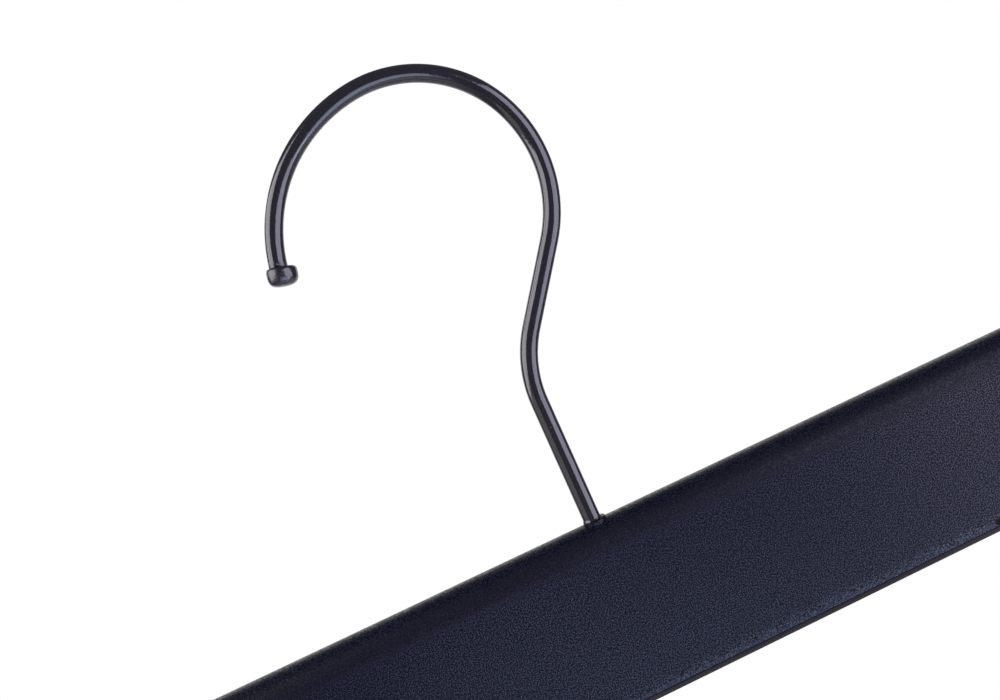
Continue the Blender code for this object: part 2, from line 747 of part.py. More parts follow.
def make_spring():
    """The torsion spring as one unbroken tube."""
    points = spring_points()
    path = bpy.data.curves.new("spring", "CURVE")
    path.dimensions = "3D"
    path.bevel_depth = SPRING_WIRE / 2
    path.bevel_resolution = 1
    path.use_fill_caps = True
    spline = path.splines.new("POLY")
    spline.points.add(len(points) - 1)
    for spot, point in zip(spline.points, points):
        spot.co = (*point, 1.0)
    print("least gap between the spring's curls, m:", least_gap(points, SPRING_WIRE, POINTS_PER_CURL // 2))
    return path


def tooth_stations():
    """Places down a pad from its top edge, and how far the face stands back there."""
    pitch = (PAD_LENGTH - 2 * PAD_END_CHAMFER) / PAD_TOOTH_COUNT
    stations = [(0, PAD_TOOTH_HEIGHT), (PAD_END_CHAMFER, PAD_TOOTH_HEIGHT)]
    for i in range(PAD_TOOTH_COUNT):
        tooth = PAD_END_CHAMFER + pitch * i
        stations.append((tooth + pitch * TOOTH_SLOPE_SHARE, 0))
        stations.append((tooth + pitch * (TOOTH_SLOPE_SHARE + TOOTH_LAND_SHARE), 0))
        stations.append((tooth + pitch, PAD_TOOTH_HEIGHT))
    stations.append((PAD_LENGTH, PAD_TOOTH_HEIGHT))
    return stations


def make_pad(name, side):
    """A soft toothed pad whose outline follows the inside of the jaw's flanges."""
    margin = (PAD_SEAT_LENGTH - PAD_LENGTH) / 2
    back = side * (CLEARANCE / 2 + PAD_THICKNESS)
    loops = []
    for down, setback in tooth_stations():
        half = grip_half(PAD_LENGTH + margin - down) - JAW_FLANGE_WALL - CLEARANCE
        face = side * (CLEARANCE / 2 + setback)
        height = PAD_LENGTH / 2 - down
        loops.append([(half, face, height), (half, back, height), (-half, back, height), (-half, face, height)])
    return loft(name, loops)


def pad_height():
    """Height of a pad's middle from the pivot."""
    shift = JAW_INNER - PAD_SEAT
    sweep = math.acos(1 - shift / (2 * JAW_SET_RADIUS))
    seat_top = -EAR_FOOT - JAW_STRAIGHT - 2 * JAW_SET_RADIUS * math.sin(sweep)
    return seat_top - PAD_SEAT_LENGTH / 2


def place_copy(source, name, parent, location):
    """Adds an object that shares the mesh or curve and sits under its parent."""
    thing = bpy.data.objects.new(name, source)
    bpy.context.scene.collection.objects.link(thing)
    thing.parent = parent
    thing.location = location
    return thing


def make_clips(frame, finishes):
    """Both clips, each about an empty on its hinge axis."""
    shapes = {
        "rear_jaw": dress(make_rear_jaw(), finishes["plastic"]),
        "front_jaw": dress(make_front_jaw(), finishes["plastic"]),
        "hinge_pin": dress(make_pin(), finishes["steel"]),
        "rear_pad": dress(make_pad("rear_pad", 1), finishes["rubber"]),
        "front_pad": dress(make_pad("front_pad", -1), finishes["rubber"]),
    }
    spring = make_spring()
    spring.materials.append(finishes["spring"])
    for side_name, side in (("left", -1), ("right", 1)):
        hinge = bpy.data.objects.new(f"{side_name}_hinge_axis", None)
        bpy.context.scene.collection.objects.link(hinge)
        hinge.parent = frame
        hinge.location = (side * CLIP_CENTRE, 0, PIVOT_HEIGHT)
        for shape_name, shape in shapes.items():
            height = pad_height() if shape_name.endswith("pad") else 0
            place_copy(shape.data, f"{side_name}_{shape_name}", hinge, (0, 0, height))
        place_copy(spring, f"{side_name}_spring", hinge, (0, 0, 0))
    for shape in shapes.values():
        bpy.data.objects.remove(shape)


def make_hanger():
    """Builds every piece and hangs the whole from the rail seat at the origin."""
    finishes = {
        "plastic": finish_material("navy_black_plastic", (0.018, 0.019, 0.030), 0.5, 0.0),
        "paint": finish_material("gloss_black_paint", (0.012, 0.012, 0.015), 0.22, 0.0),
        "steel": finish_material("zinc_plated_steel", (0.62, 0.62, 0.63), 0.32, 1.0),
        "spring": finish_material("spring_steel", (0.45, 0.45, 0.46), 0.3, 1.0),
        "rubber": finish_material("soft_black_pad", (0.03, 0.03, 0.032), 0.8, 0.0),
    }
    frame = bpy.data.objects.new("swivel_axis_at_crest", None)
    bpy.context.scene.collection.objects.link(frame)
    frame.location = (0, 0, -rail_seat_height())
    for thing, finish in (
        (make_hook(), "paint"),
        (make_washer(), "steel"),
        (make_bar(), "plastic"),
    ):
        dress(thing, finishes[finish])
        thing.parent = frame
    make_clips(frame, finishes)


clear_scene()
make_hanger()
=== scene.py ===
# Clip hanger: fine surfaces, finishes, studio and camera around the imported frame.
# Metres. The bar runs along X, its smooth face looks to -Y, and the origin is where a rail bears in the hook.
import json
import math

import bmesh
import bpy
from mathutils import Matrix, Quaternion, Vector


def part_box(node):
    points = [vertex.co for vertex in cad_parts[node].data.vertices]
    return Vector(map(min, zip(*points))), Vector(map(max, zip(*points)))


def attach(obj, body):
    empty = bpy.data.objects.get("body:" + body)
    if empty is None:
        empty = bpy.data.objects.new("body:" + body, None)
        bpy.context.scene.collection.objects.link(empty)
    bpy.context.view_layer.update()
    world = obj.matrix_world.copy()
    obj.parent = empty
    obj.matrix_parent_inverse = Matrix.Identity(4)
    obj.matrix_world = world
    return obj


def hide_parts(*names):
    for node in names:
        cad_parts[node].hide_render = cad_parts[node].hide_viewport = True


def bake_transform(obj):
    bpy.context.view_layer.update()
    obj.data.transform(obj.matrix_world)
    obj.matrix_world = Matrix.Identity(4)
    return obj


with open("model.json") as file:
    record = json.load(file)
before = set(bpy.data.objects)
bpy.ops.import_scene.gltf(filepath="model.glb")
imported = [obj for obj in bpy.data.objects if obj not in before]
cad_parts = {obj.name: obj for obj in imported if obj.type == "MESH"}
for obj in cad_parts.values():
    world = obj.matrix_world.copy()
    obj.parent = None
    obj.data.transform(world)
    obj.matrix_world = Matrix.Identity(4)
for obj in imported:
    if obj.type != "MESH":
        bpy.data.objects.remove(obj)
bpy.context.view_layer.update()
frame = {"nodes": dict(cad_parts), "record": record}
print("frame loaded:", len(frame["nodes"]), "nodes")


# modelling steps that the pieces share

seedSize = 0.01  # of a primitive before it gets its own points
placeDigits = 7
weldGap = 0.000002
sharpAngle = 0.6  # in radians, from which an edge counts as one
overrun = 0.001  # how far a cutting form passes the surface that it cuts
hair = 0.00001  # tells the edges on a face from the others
quarterTurn = [math.radians(a) for a in range(0, 91, 9)]


def deselectAll():
    if bpy.context.mode != "OBJECT":
        bpy.ops.object.mode_set(mode="OBJECT")
    bpy.ops.object.select_all(action="DESELECT")


def selectOnly(piece):
    deselectAll()
    piece.select_set(True)
    bpy.context.view_layer.objects.active = piece


def startLoop(name, points):  # a closed loop of edges, left selected in edit mode
    deselectAll()
    bpy.ops.mesh.primitive_circle_add(vertices=len(points), radius=seedSize, fill_type="NOTHING")
    piece = bpy.context.object
    piece.name = piece.data.name = name
    bpy.ops.object.mode_set(mode="EDIT")
    form = bmesh.from_edit_mesh(piece.data)
    form.verts.ensure_lookup_table()
    for corner, point in zip(form.verts, points):
        corner.co = point
    bmesh.update_edit_mesh(piece.data)
    bpy.ops.mesh.select_all(action="SELECT")
    return piece


def startPoint(name, point):  # one point, the start of a drawn profile
    deselectAll()
    bpy.ops.mesh.primitive_plane_add(size=seedSize, location=point)
    piece = bpy.context.object
    piece.name = piece.data.name = name
    bpy.ops.object.mode_set(mode="EDIT")
    bpy.ops.mesh.select_all(action="SELECT")
    bpy.ops.mesh.merge(type="CENTER")
    bpy.ops.mesh.select_all(action="SELECT")
    return piece


def pull(step):
    bpy.ops.mesh.extrude_region_move(TRANSFORM_OT_translate={"value": tuple(step)})


def turn(centre, axis, degrees, steps):  # the spin operator counts angles the other way round
    bpy.ops.mesh.spin(steps=steps, angle=-math.radians(degrees), center=tuple(centre), axis=axis)


def widen(values, centre):
    bpy.ops.transform.resize(value=values, center_override=tuple(centre))


def spotKey(place):  # a place rounded, so that a fresh corner is found again
    return tuple(round(c, placeDigits) for c in place)


def nextLoop(piece, points, previous):  # pulls a new loop out of the last one and puts it in place
    pull((0, 0, 0))
    form = bmesh.from_edit_mesh(piece.data)
    fresh = [corner for corner in form.verts if corner.select]
    spots = {spotKey(point): i for i, point in enumerate(previous)}
    for corner in fresh:
        index = spots.get(spotKey(corner.co))
        if index is None:
            index = min(range(len(previous)), key=lambda i: (Vector(previous[i]) - corner.co).length)
        corner.co = points[index]
    bmesh.update_edit_mesh(piece.data)


def drawForm(name, loops):  # a closed form pulled from loop to loop
    piece = startLoop(name, loops[0])
    for previous, points in zip(loops, loops[1:]):
        nextLoop(piece, points, previous)
    return closeForm(piece)


def closeForm(piece):  # welds, caps the open ends and turns the faces outwards
    bpy.ops.mesh.select_all(action="SELECT")
    bpy.ops.mesh.remove_doubles(threshold=weldGap)
    bpy.ops.mesh.fill_holes(sides=0)
    bpy.ops.mesh.select_all(action="SELECT")
    bpy.ops.mesh.normals_make_consistent(inside=False)
    deselectAll()
    return piece


def drawPlate(name, outline, low, high, axis="Y"):  # an outline pulled straight along Y or X
    if axis == "Y":
        piece = startLoop(name, [(a, low, b) for a, b in outline])
        pull((0, high - low, 0))
    else:
        piece = startLoop(name, [(low, a, b) for a, b in outline])
        pull((high - low, 0, 0))
    return closeForm(piece)


def drawTurned(name, profile, axis, steps):  # (place, radius) points spun about X or Z
    spots = [Vector((p, 0, r)) if axis == "X" else Vector((r, 0, p)) for p, r in profile]
    piece = startPoint(name, spots[0])
    for here, there in zip(spots, spots[1:]):
        pull(there - here)
    bpy.ops.object.mode_set(mode="OBJECT")
    bpy.ops.object.transform_apply(location=True, rotation=True, scale=True)
    bpy.ops.object.mode_set(mode="EDIT")
    bpy.ops.mesh.select_all(action="SELECT")
    turn((0, 0, 0), (1, 0, 0) if axis == "X" else (0, 0, 1), 360, steps)
    return closeForm(piece)


def softenEdges(piece, wanted, width):  # bevels the edges that a test picks
    selectOnly(piece)
    bpy.ops.object.mode_set(mode="EDIT")
    bpy.ops.mesh.select_mode(type="EDGE")
    bpy.ops.mesh.select_all(action="DESELECT")
    form = bmesh.from_edit_mesh(piece.data)
    for edge in form.edges:
        if len(edge.link_faces) == 2 and edge.calc_face_angle(0) > sharpAngle and wanted(*[v.co for v in edge.verts]):
            edge.select = True
    bmesh.update_edit_mesh(piece.data)
    bpy.ops.mesh.bevel(offset=width, segments=2, profile=0.5, clamp_overlap=True)
    bpy.ops.mesh.select_mode(type="VERT")
    deselectAll()


def combine(piece, tool, how):
    step = piece.modifiers.new(how.lower(), "BOOLEAN")
    step.operation = how
    step.object = tool
    selectOnly(piece)
    bpy.ops.object.modifier_apply(modifier=step.name)
    bpy.data.objects.remove(tool)


def smoothPiece(piece, degrees):  # faces that meet at less than this angle are shaded as one
    selectOnly(piece)
    bpy.ops.object.transform_apply(location=True, rotation=True, scale=True)
    bpy.ops.object.shade_smooth_by_angle(angle=math.radians(degrees))
    deselectAll()
    return piece


def copyTo(piece, name, place):  # a copy with its own mesh, its place in the mesh
    selectOnly(piece)
    bpy.ops.object.duplicate(linked=False)
    twin = bpy.context.object
    twin.name = twin.data.name = name
    bpy.ops.transform.translate(value=tuple(place))
    bpy.ops.object.transform_apply(location=True, rotation=True, scale=True)
    return twin


def arcPoints(centre, radius, start, end, steps):  # round, or an ellipse where radius is a pair
    turns = [math.radians(start + (end - start) * i / steps) for i in range(steps + 1)]
    rise = radius if isinstance(radius, tuple) else (radius, radius)
    return [(centre[0] + rise[0] * math.cos(t), centre[1] + rise[1] * math.sin(t)) for t in turns]


def roundCorners(outline, radius, steps=3):  # small arcs at the corners of a closed outline
    points = []
    for i, corner in enumerate(outline):
        here = Vector(corner)
        arms = [(Vector(outline[j]) - here).normalized() for j in (i - 1, (i + 1) % len(outline))]
        half = arms[0].angle(arms[1]) / 2
        centre = here + (arms[0] + arms[1]).normalized() * (radius / math.sin(half))
        first, last = [here + arm * (radius / math.tan(half)) - centre for arm in arms]
        sweep = first.angle_signed(last)
        for k in range(steps + 1):
            a = sweep * k / steps
            points.append((centre.x + first.x * math.cos(a) + first.y * math.sin(a),
                           centre.y - first.x * math.sin(a) + first.y * math.cos(a)))
    return points


collarHeight, barHeight = 0.00045, 0.0349
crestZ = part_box("bar")[1].z - collarHeight  # the bar's own top, under the collar


# finishes

class Signal:  # one socket of a finish, so that its maths reads as an expression
    def __init__(self, finish, socket):
        self.finish = finish
        self.socket = socket

    def maths(self, operation, *others):
        return self.finish.add("ShaderNodeMath", {"operation": operation}, dict(enumerate((self, *others))))

    def __add__(self, other):
        return self.maths("ADD", other)

    def __sub__(self, other):
        return self.maths("SUBTRACT", other)

    def __mul__(self, other):
        return self.maths("MULTIPLY", other)

    def __rsub__(self, other):
        return (self * -1.0) + other

    __radd__ = __add__

    def between(self, low, high):  # 0 below low, 1 above high, smooth in between
        settings = {"interpolation_type": "SMOOTHSTEP"}
        return self.finish.add("ShaderNodeMapRange", settings, {"Value": self, "From Min": low, "From Max": high})


class Finish:
    def __init__(self, name, **sockets):
        self.material = bpy.data.materials.new(name)
        self.material.use_nodes = True
        self.tree = self.material.node_tree
        self.shader = self.tree.nodes["Principled BSDF"]
        for socket, value in sockets.items():
            self.shader.inputs[socket.replace("_", " ")].default_value = value

    def add(self, kind, settings=None, inputs=None, output=0):
        node = self.tree.nodes.new(kind)
        for setting, value in (settings or {}).items():
            setattr(node, setting, value)
        for socket, value in (inputs or {}).items():
            if isinstance(value, Signal):
                self.tree.links.new(value.socket, node.inputs[socket])
            else:
                node.inputs[socket].default_value = value
        return Signal(self, node.outputs[output])

    def places(self):
        return self.add("ShaderNodeTexCoord", output="Object")

    def noise(self, scale, detail, roughness, seed=0.0):
        vector = self.places()
        if seed:
            vector = self.add("ShaderNodeMapping", {}, {"Vector": vector, "Location": (seed, seed, seed)})
        values = {"Vector": vector, "Scale": scale, "Detail": detail, "Roughness": roughness}
        return self.add("ShaderNodeTexNoise", {}, values)

    def spots(self, scale):  # distance to the nearest of scattered points
        return self.add("ShaderNodeTexVoronoi", {}, {"Vector": self.places(), "Scale": scale})

    def blendColours(self, share, low, high):  # the mix node's colours are its inputs 6 and 7 and its output 2
        settings = {"data_type": "RGBA"}
        inputs = {0: share, 6: low, 7: high}
        inputs = {i: (*value, 1) if isinstance(value, tuple) else value for i, value in inputs.items()}
        return self.add("ShaderNodeMix", settings, inputs, output=2)

    def bump(self, height, depth):
        return self.add("ShaderNodeBump", {}, {"Height": height, "Distance": depth, "Strength": 1.0})

    def feed(self, socket, signal):
        self.tree.links.new(signal.socket, self.shader.inputs[socket])


# In the looks below a noise is given as scale, detail and roughness, and one with a fourth number is shifted by it.

plasticLook = {
    "barGrain": ((0.0022, 0.0022, 0.0066), (0.0120, 0.0150, 0.0350), 0.85),  # deep, pale, sparkle
    "clipGrain": ((0.0046, 0.0052, 0.0130), (0.0096, 0.0116, 0.0265), 0.45),
    "ior": 1.19, "sparkleIor": 1.5, "roughness": 0.30, "cloud": (260.0, 3.0, 0.6), "cloudShare": 0.12,
    "grain": (4200.0, 1.5, 0.5), "peaks": (0.47, 0.60), "grainDepth": 0.00008,
    # lip: a lighter, warmer colour on the smooth lip, a painted reflection of warm light from below
    "lipTop": crestZ - barHeight + 0.00078, "lipBlur": (-0.00005, 0.00005), "lip": (0.0330, 0.0290, 0.0270),
    "collarBlur": (0.00002, 0.00008), "collar": (0.002, 0.002, 0.004),
    # painted light: a lighter, greyer colour along the crest's roll, standing in for how the light falls there
    "paintedCrestLightFoot": (-0.0070, -0.0040), "paintedCrestLightTop": (-0.0022, -0.0006), "paintedCrestLight": (0.0145, 0.0137, 0.0192), "paintedCrestLightShare": 0.6,
    # rim: a painted bluish highlight colour along the face's lower edge, over the lip
    "rimReach": (0.0001, 0.0017), "rim": (0.0240, 0.0270, 0.0480), "paintedRimHighlightShare": 0.7, "rimCalm": 0.6, "rimGloss": 0.10,
    "crestReach": (-0.0008, -0.0002), "crestRoughness": 0.10,
}


def makePlastic(name, onBar):  # fine-grained matt moulding, navy black; the bar's lip and collar are smooth, and the bar carries painted light along the crest's roll, a painted highlight over the lip and a painted reflection on the lip itself
    s = plasticLook
    deep, pale, sparkle = s["barGrain" if onBar else "clipGrain"]
    finish = Finish(name, Roughness=s["roughness"], IOR=s["ior"], Coat_Roughness=s["roughness"],
                    Coat_IOR=s["sparkleIor"])
    grain = finish.noise(*s["grain"])
    peaks = grain.between(*s["peaks"])
    cloud = finish.noise(*s["cloud"])
    colour = finish.blendColours(peaks, deep, pale)
    roughness = s["roughness"] + (cloud - 0.5) * s["cloudShare"]
    if onBar:
        height = finish.add("ShaderNodeSeparateXYZ", {}, {"Vector": finish.places()}, "Z")

        def over(level, reach):  # 0 below a reach about a level, 1 above it
            return height.between(level + reach[0], level + reach[1])

        lip = 1 - over(s["lipTop"], s["lipBlur"])
        collar = over(crestZ, s["collarBlur"])
        rim = 1 - over(s["lipTop"], s["rimReach"])  # painted highlight along the face's lower edge, over the lip, where the edge is also glossier and less grained
        paintedCrestLight = over(crestZ, s["paintedCrestLightFoot"]) * (1 - over(crestZ, s["paintedCrestLightTop"])) * s["paintedCrestLightShare"]  # painted light along the crest's roll: a lighter, greyer colour where the roll turns up, with the sparkle taken off
        colour = finish.blendColours(paintedCrestLight, colour, s["paintedCrestLight"])
        colour = finish.blendColours(rim * s["paintedRimHighlightShare"], colour, s["rim"])
        # painted reflection: the smooth lip takes a lighter, warmer colour
        colour = finish.blendColours(lip, colour, s["lip"])
        colour = finish.blendColours(collar, colour, s["collar"])
        roughness = roughness - rim * s["rimGloss"]
        roughness = roughness + over(crestZ, s["crestReach"]) * s["crestRoughness"]
        grain = grain * (1 - lip) * (1 - rim * s["rimCalm"])
        peaks = peaks * (1 - lip) * (1 - paintedCrestLight)
    finish.feed("Base Color", colour)
    finish.feed("Roughness", roughness)
    finish.feed("Coat Weight", peaks * sparkle)
    finish.feed("Normal", finish.bump(grain, s["grainDepth"]))
    return finish.material


paintLook = {
    "colour": (0.0045, 0.0030, 0.0060), "ior": 1.92, "roughness": 0.12,
    "peel": (900.0, 2.0, 0.5), "peelDepth": 0.00002, "wave": (240.0, 1.0, 0.5, 5.0), "waveShare": 4.0,
    "specks": 420.0, "speckReach": (0.02, 0.09), "speckColour": (0.03, 0.028, 0.026),
    "speckDullness": 0.3, "speckDip": 1.5,
    "dull": (700.0, 3.0, 0.6, 3.0), "dullReach": (0.52, 0.7), "dullness": 0.08,
    "tip": (-0.0347, 0, -0.0241), "tipReach": (0.0028, 0.0036), "tipDullness": 0.14, "tipDents": 4.0,
}


def makePaint():  # gloss black paint on steel wire, duller and dented at the bead
    s = paintLook
    finish = Finish("glossBlackPaint", Base_Color=(*s["colour"], 1), Roughness=s["roughness"], IOR=s["ior"])
    peel = finish.noise(*s["peel"])
    wave = finish.noise(*s["wave"])
    specks = 1 - finish.spots(s["specks"]).between(*s["speckReach"])
    dulled = finish.noise(*s["dull"]).between(*s["dullReach"])
    settings = {"operation": "DISTANCE"}
    away = finish.add("ShaderNodeVectorMath", settings, {0: finish.places(), 1: s["tip"]}, "Value")
    tip = 1 - away.between(*s["tipReach"])
    finish.feed("Base Color", finish.blendColours(specks, s["colour"], s["speckColour"]))
    roughness = s["roughness"] + dulled * s["dullness"] + specks * s["speckDullness"] + tip * s["tipDullness"]
    finish.feed("Roughness", roughness)
    height = peel * (1 + tip * s["tipDents"]) + wave * s["waveShare"] - specks * s["speckDip"]
    finish.feed("Normal", finish.bump(height, s["peelDepth"]))
    return finish.material


cloudyLooks = {
    "zincPlating": {
        "colour": (0.62, 0.62, 0.63), "metallic": 1.0, "roughness": 0.3, "cloud": (900.0, 3.0, 0.6),
        "reach": (0.35, 0.65), "shades": ((0.50, 0.50, 0.52), (0.68, 0.68, 0.68)), "dulling": (0.24, 0.16),
        "marks": (2600.0, 2.0, 0.5), "depth": 0.00001,
    },
    "springSteel": {  # drawn wire with an oily dark bloom
        "colour": (0.42, 0.42, 0.43), "metallic": 1.0, "roughness": 0.28, "cloud": (700.0, 3.0, 0.6),
        "reach": (0.35, 0.7), "shades": ((0.30, 0.30, 0.31), (0.50, 0.50, 0.50)), "dulling": (0.22, 0.18),
        "marks": (3000.0, 2.0, 0.5), "depth": 0.00001,
    },
    "softBlackPad": {
        "colour": (0.022, 0.022, 0.024), "metallic": 0.0, "roughness": 0.75, "cloud": (500.0, 3.0, 0.6),
        "reach": (0.35, 0.7), "shades": ((0.018, 0.018, 0.020), (0.034, 0.034, 0.036)), "dulling": (0.68, 0.18),
        "marks": (4200.0, 2.0, 0.6), "depth": 0.00003,
    },
}


def makeCloudy(name):  # two shades that cloud into each other, with fine marks
    s = cloudyLooks[name]
    finish = Finish(name, Base_Color=(*s["colour"], 1), Metallic=s["metallic"], Roughness=s["roughness"])
    cloud = finish.noise(*s["cloud"])
    finish.feed("Base Color", finish.blendColours(cloud.between(*s["reach"]), *s["shades"]))
    finish.feed("Roughness", s["dulling"][0] + cloud * s["dulling"][1])
    finish.feed("Normal", finish.bump(finish.noise(*s["marks"]), s["depth"]))
    return finish.material


finishes = {
    "navy_black_plastic": makePlastic("navyBlackMoulding", False),
    "gloss_black_paint": makePaint(),
    "zinc_plated_steel": makeCloudy("zincPlating"),
    "spring_steel": makeCloudy("springSteel"),
    "soft_black_pad": makeCloudy("softBlackPad"),
}
print("finishes made")


def dress(piece, slotName, body, *nodes):
    piece.data.materials.clear()
    piece.data.materials.append(finishes[slotName])
    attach(piece, body)
    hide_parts(*nodes)


# hook wire

hookShape = {
    "wire": 0.0035, "sides": 48, "bendStep": 2.5,
    "headTop": -0.0154, "headHeight": 0.0018, "headRadius": 0.0026, "headFoot": 0.5,
    "headRings": ((0.10, 0.74), (0.28, 0.92), (0.5, 1.0), (0.85, 1.0), (1.0, 0.94)),
    "fillet": ((0.00003, 0.0), (0.00003, 0.00015), (0.00007, 0.00019), (0.00013, 0.00016), (0.00020, 0.00011),
               (0.00029, 0.00006), (0.00040, 0.00002), (0.00054, 0.0)),
    "shank": 0.0254, "neck": (0.02344, 35.8), "slant": 0.0170,
    "bends": ((0.02646, -60.0), (0.02431, -74.0), (0.03071, -70.6)),
    "bead": 0.0058, "beadLength": 0.0037, "beadShift": 0.0004, "beadShiftEnd": 0.1,
    "beadRings": ((0.02, 0.58), (0.04, 0.82), (0.07, 0.90), (0.13, 0.96), (0.22, 1.0), (0.50, 1.0), (0.66, 0.97),
                  (0.79, 0.90), (0.89, 0.79), (0.96, 0.62), (1.0, 0.38)), "smooth": 50,
}


def makeHook():
    s = hookShape
    radius = s["wire"] / 2
    foot = crestZ + s["headTop"] - s["headHeight"]
    turns = [math.tau * i / s["sides"] for i in range(s["sides"])]
    small = s["headRadius"] * s["headFoot"]
    hook = startLoop("hookWire", [(small * math.cos(t), small * math.sin(t), foot) for t in turns])
    level, now = foot, s["headFoot"]
    for rise, share in s["headRings"]:  # riveted foot
        pull((0, 0, foot + s["headHeight"] * rise - level))
        level = foot + s["headHeight"] * rise
        widen((share / now, share / now, 1), (0, 0, level))
        now = share
    pull((0, 0, 0))
    widen((radius / (s["headRadius"] * now), radius / (s["headRadius"] * now), 1), (0, 0, crestZ + s["headTop"]))
    level, now = s["headTop"], radius
    for rise, wider in s["fillet"]:  # paint gathered where the shank leaves the collar
        pull((0, 0, collarHeight + rise - level))
        widen(((radius + wider) / now,) * 2 + (1,), (0, 0, crestZ + collarHeight + rise))
        level, now = collarHeight + rise, radius + wider
    pull((0, 0, s["shank"] - level))
    place = Vector((0, 0, crestZ + s["shank"]))
    heading = 90.0
    route = [(s["neck"][0], s["neck"][1]), s["slant"], *s["bends"]]
    for step in route:
        along = Vector((math.cos(math.radians(heading)), 0, math.sin(math.radians(heading))))
        if isinstance(step, float):
            pull(along * step)
            place += along * step
            continue
        bendRadius, sweep = step  # positive sweeps turn to the right, as seen from the front
        rightward = Vector((along.z, 0, -along.x))
        centre = place + rightward * math.copysign(bendRadius, sweep)
        turn(centre, (0, 1, 0), sweep, math.ceil(abs(sweep) / s["bendStep"]))
        heading -= sweep
        angle = math.radians(sweep)
        arm = place - centre
        place = centre + Vector((arm.x * math.cos(angle) + arm.z * math.sin(angle), 0,
                                 -arm.x * math.sin(angle) + arm.z * math.cos(angle)))
    along = Vector((math.cos(math.radians(heading)), 0, math.sin(math.radians(heading))))
    across = Vector((along.z, 0, -along.x))
    done, now, shifted = 0.0, s["wire"] / s["bead"], 0.0
    for share, width in s["beadRings"]:  # upset bead
        shift = -s["beadShift"] * min(1, share / s["beadShiftEnd"])
        pull(along * s["beadLength"] * (share - done) + across * (shift - shifted))
        here = place + along * s["beadLength"] * share + across * shift
        widen((width / now,) * 3, here)
        done, now, shifted = share, width, shift
    closeForm(hook)
    return smoothPiece(hook, s["smooth"])


hook = makeHook()
dress(hook, "gloss_black_paint", "hook_wire", "hook")
print("hook made:", len(hook.data.polygons), "faces")


# retaining washer under the boss

washerShape = {"top": -0.0143, "thickness": 0.0008, "outer": 0.0029, "inner": 0.00205, "edge": 0.0001,
               "steps": 48, "smooth": 32}


def makeWasher():
    s = washerShape
    low, high = crestZ + s["top"] - s["thickness"], crestZ + s["top"]
    section = roundCorners([(s["inner"], low), (s["outer"], low), (s["outer"], high), (s["inner"], high)], s["edge"])
    washer = startLoop("retainingWasher", [(r, 0, z) for r, z in section])
    turn((0, 0, 0), (0, 0, 1), 360, s["steps"])
    closeForm(washer)
    return smoothPiece(washer, s["smooth"])


washer = makeWasher()
dress(washer, "zinc_plated_steel", "hook_wire", "retaining_washer")


# bar

barShape = {
    "length": 0.350, "height": barHeight, "depth": 0.0100, "skin": 0.0018,
    "crest": 0.0050, "crestBack": 0.0032, "topWall": 0.0036, "topDraft": 0.0003,
    "lip": 0.0007, "lipSetback": 0.0003, "railCrown": 0.0010, "crownTrim": (0.0002, 0.0003),
    "backCorner": (0.0004, 0.0003), "lipFoot": (0.0001, 0.00005), "lipHead": 0.00012,
    "groove": 0.00012, "grooveDepth": 0.0003, "lipDrop": 0.0002, "crestDrop": 0.00004,
    "faceRoll": 0.0030, "faceSetback": 0.00022, "faceEdge": 0.00012,
    "endRadius": 0.0035, "endWall": 0.0025, "fillet": 0.0018, "sink": 0.0004, "rimEdge": 0.0002, "rimTop": 0.003,
    "cornerSteps": 4, "lipSteps": 3, "edgeSteps": 6, "crownSteps": 16, "crestSteps": 20, "rearSteps": 14, "smooth": 30,
}
slotShape = {
    "inner": 0.0716, "outer": 0.1660, "height": 0.0016, "flare": 0.00025,
    "mouth": ((0.0, 1.0), (0.3, 0.55), (1.0, 0.12), (2.0, 0.0)), "steps": 16,  # depths and widths in flares
}
ribShape = {
    "upright": 0.0014, "uprightSetback": 0.0012, "brace": 0.0012, "braceSetback": 0.0018,
    "shelf": 0.0014, "shelfSetback": 0.0008, "shelfLift": 0.0004, "first": 0.0090, "pitch": 0.024, "edge": 0.00018,
    "longRib": 0.001, "longShelf": 0.01,
}
bossShape = {
    "radius": 0.0046, "length": 0.0104, "edge": ((0.0, 0.0003), (0.0001, 0.0001), (0.0003, 0.0)),
    "bore": 0.00205, "throat": 0.00186, "throatDepth": 0.0008, "throatTaper": 0.0002, "steps": 48,
    "collar": 0.0023, "collarTop": 0.00218, "collarEdge": 0.00012, "collarShift": 0.00035, "collarSteps": 64,
}
railTop = crestZ - barShape["height"] + barShape["lip"]  # of the rail under the slots


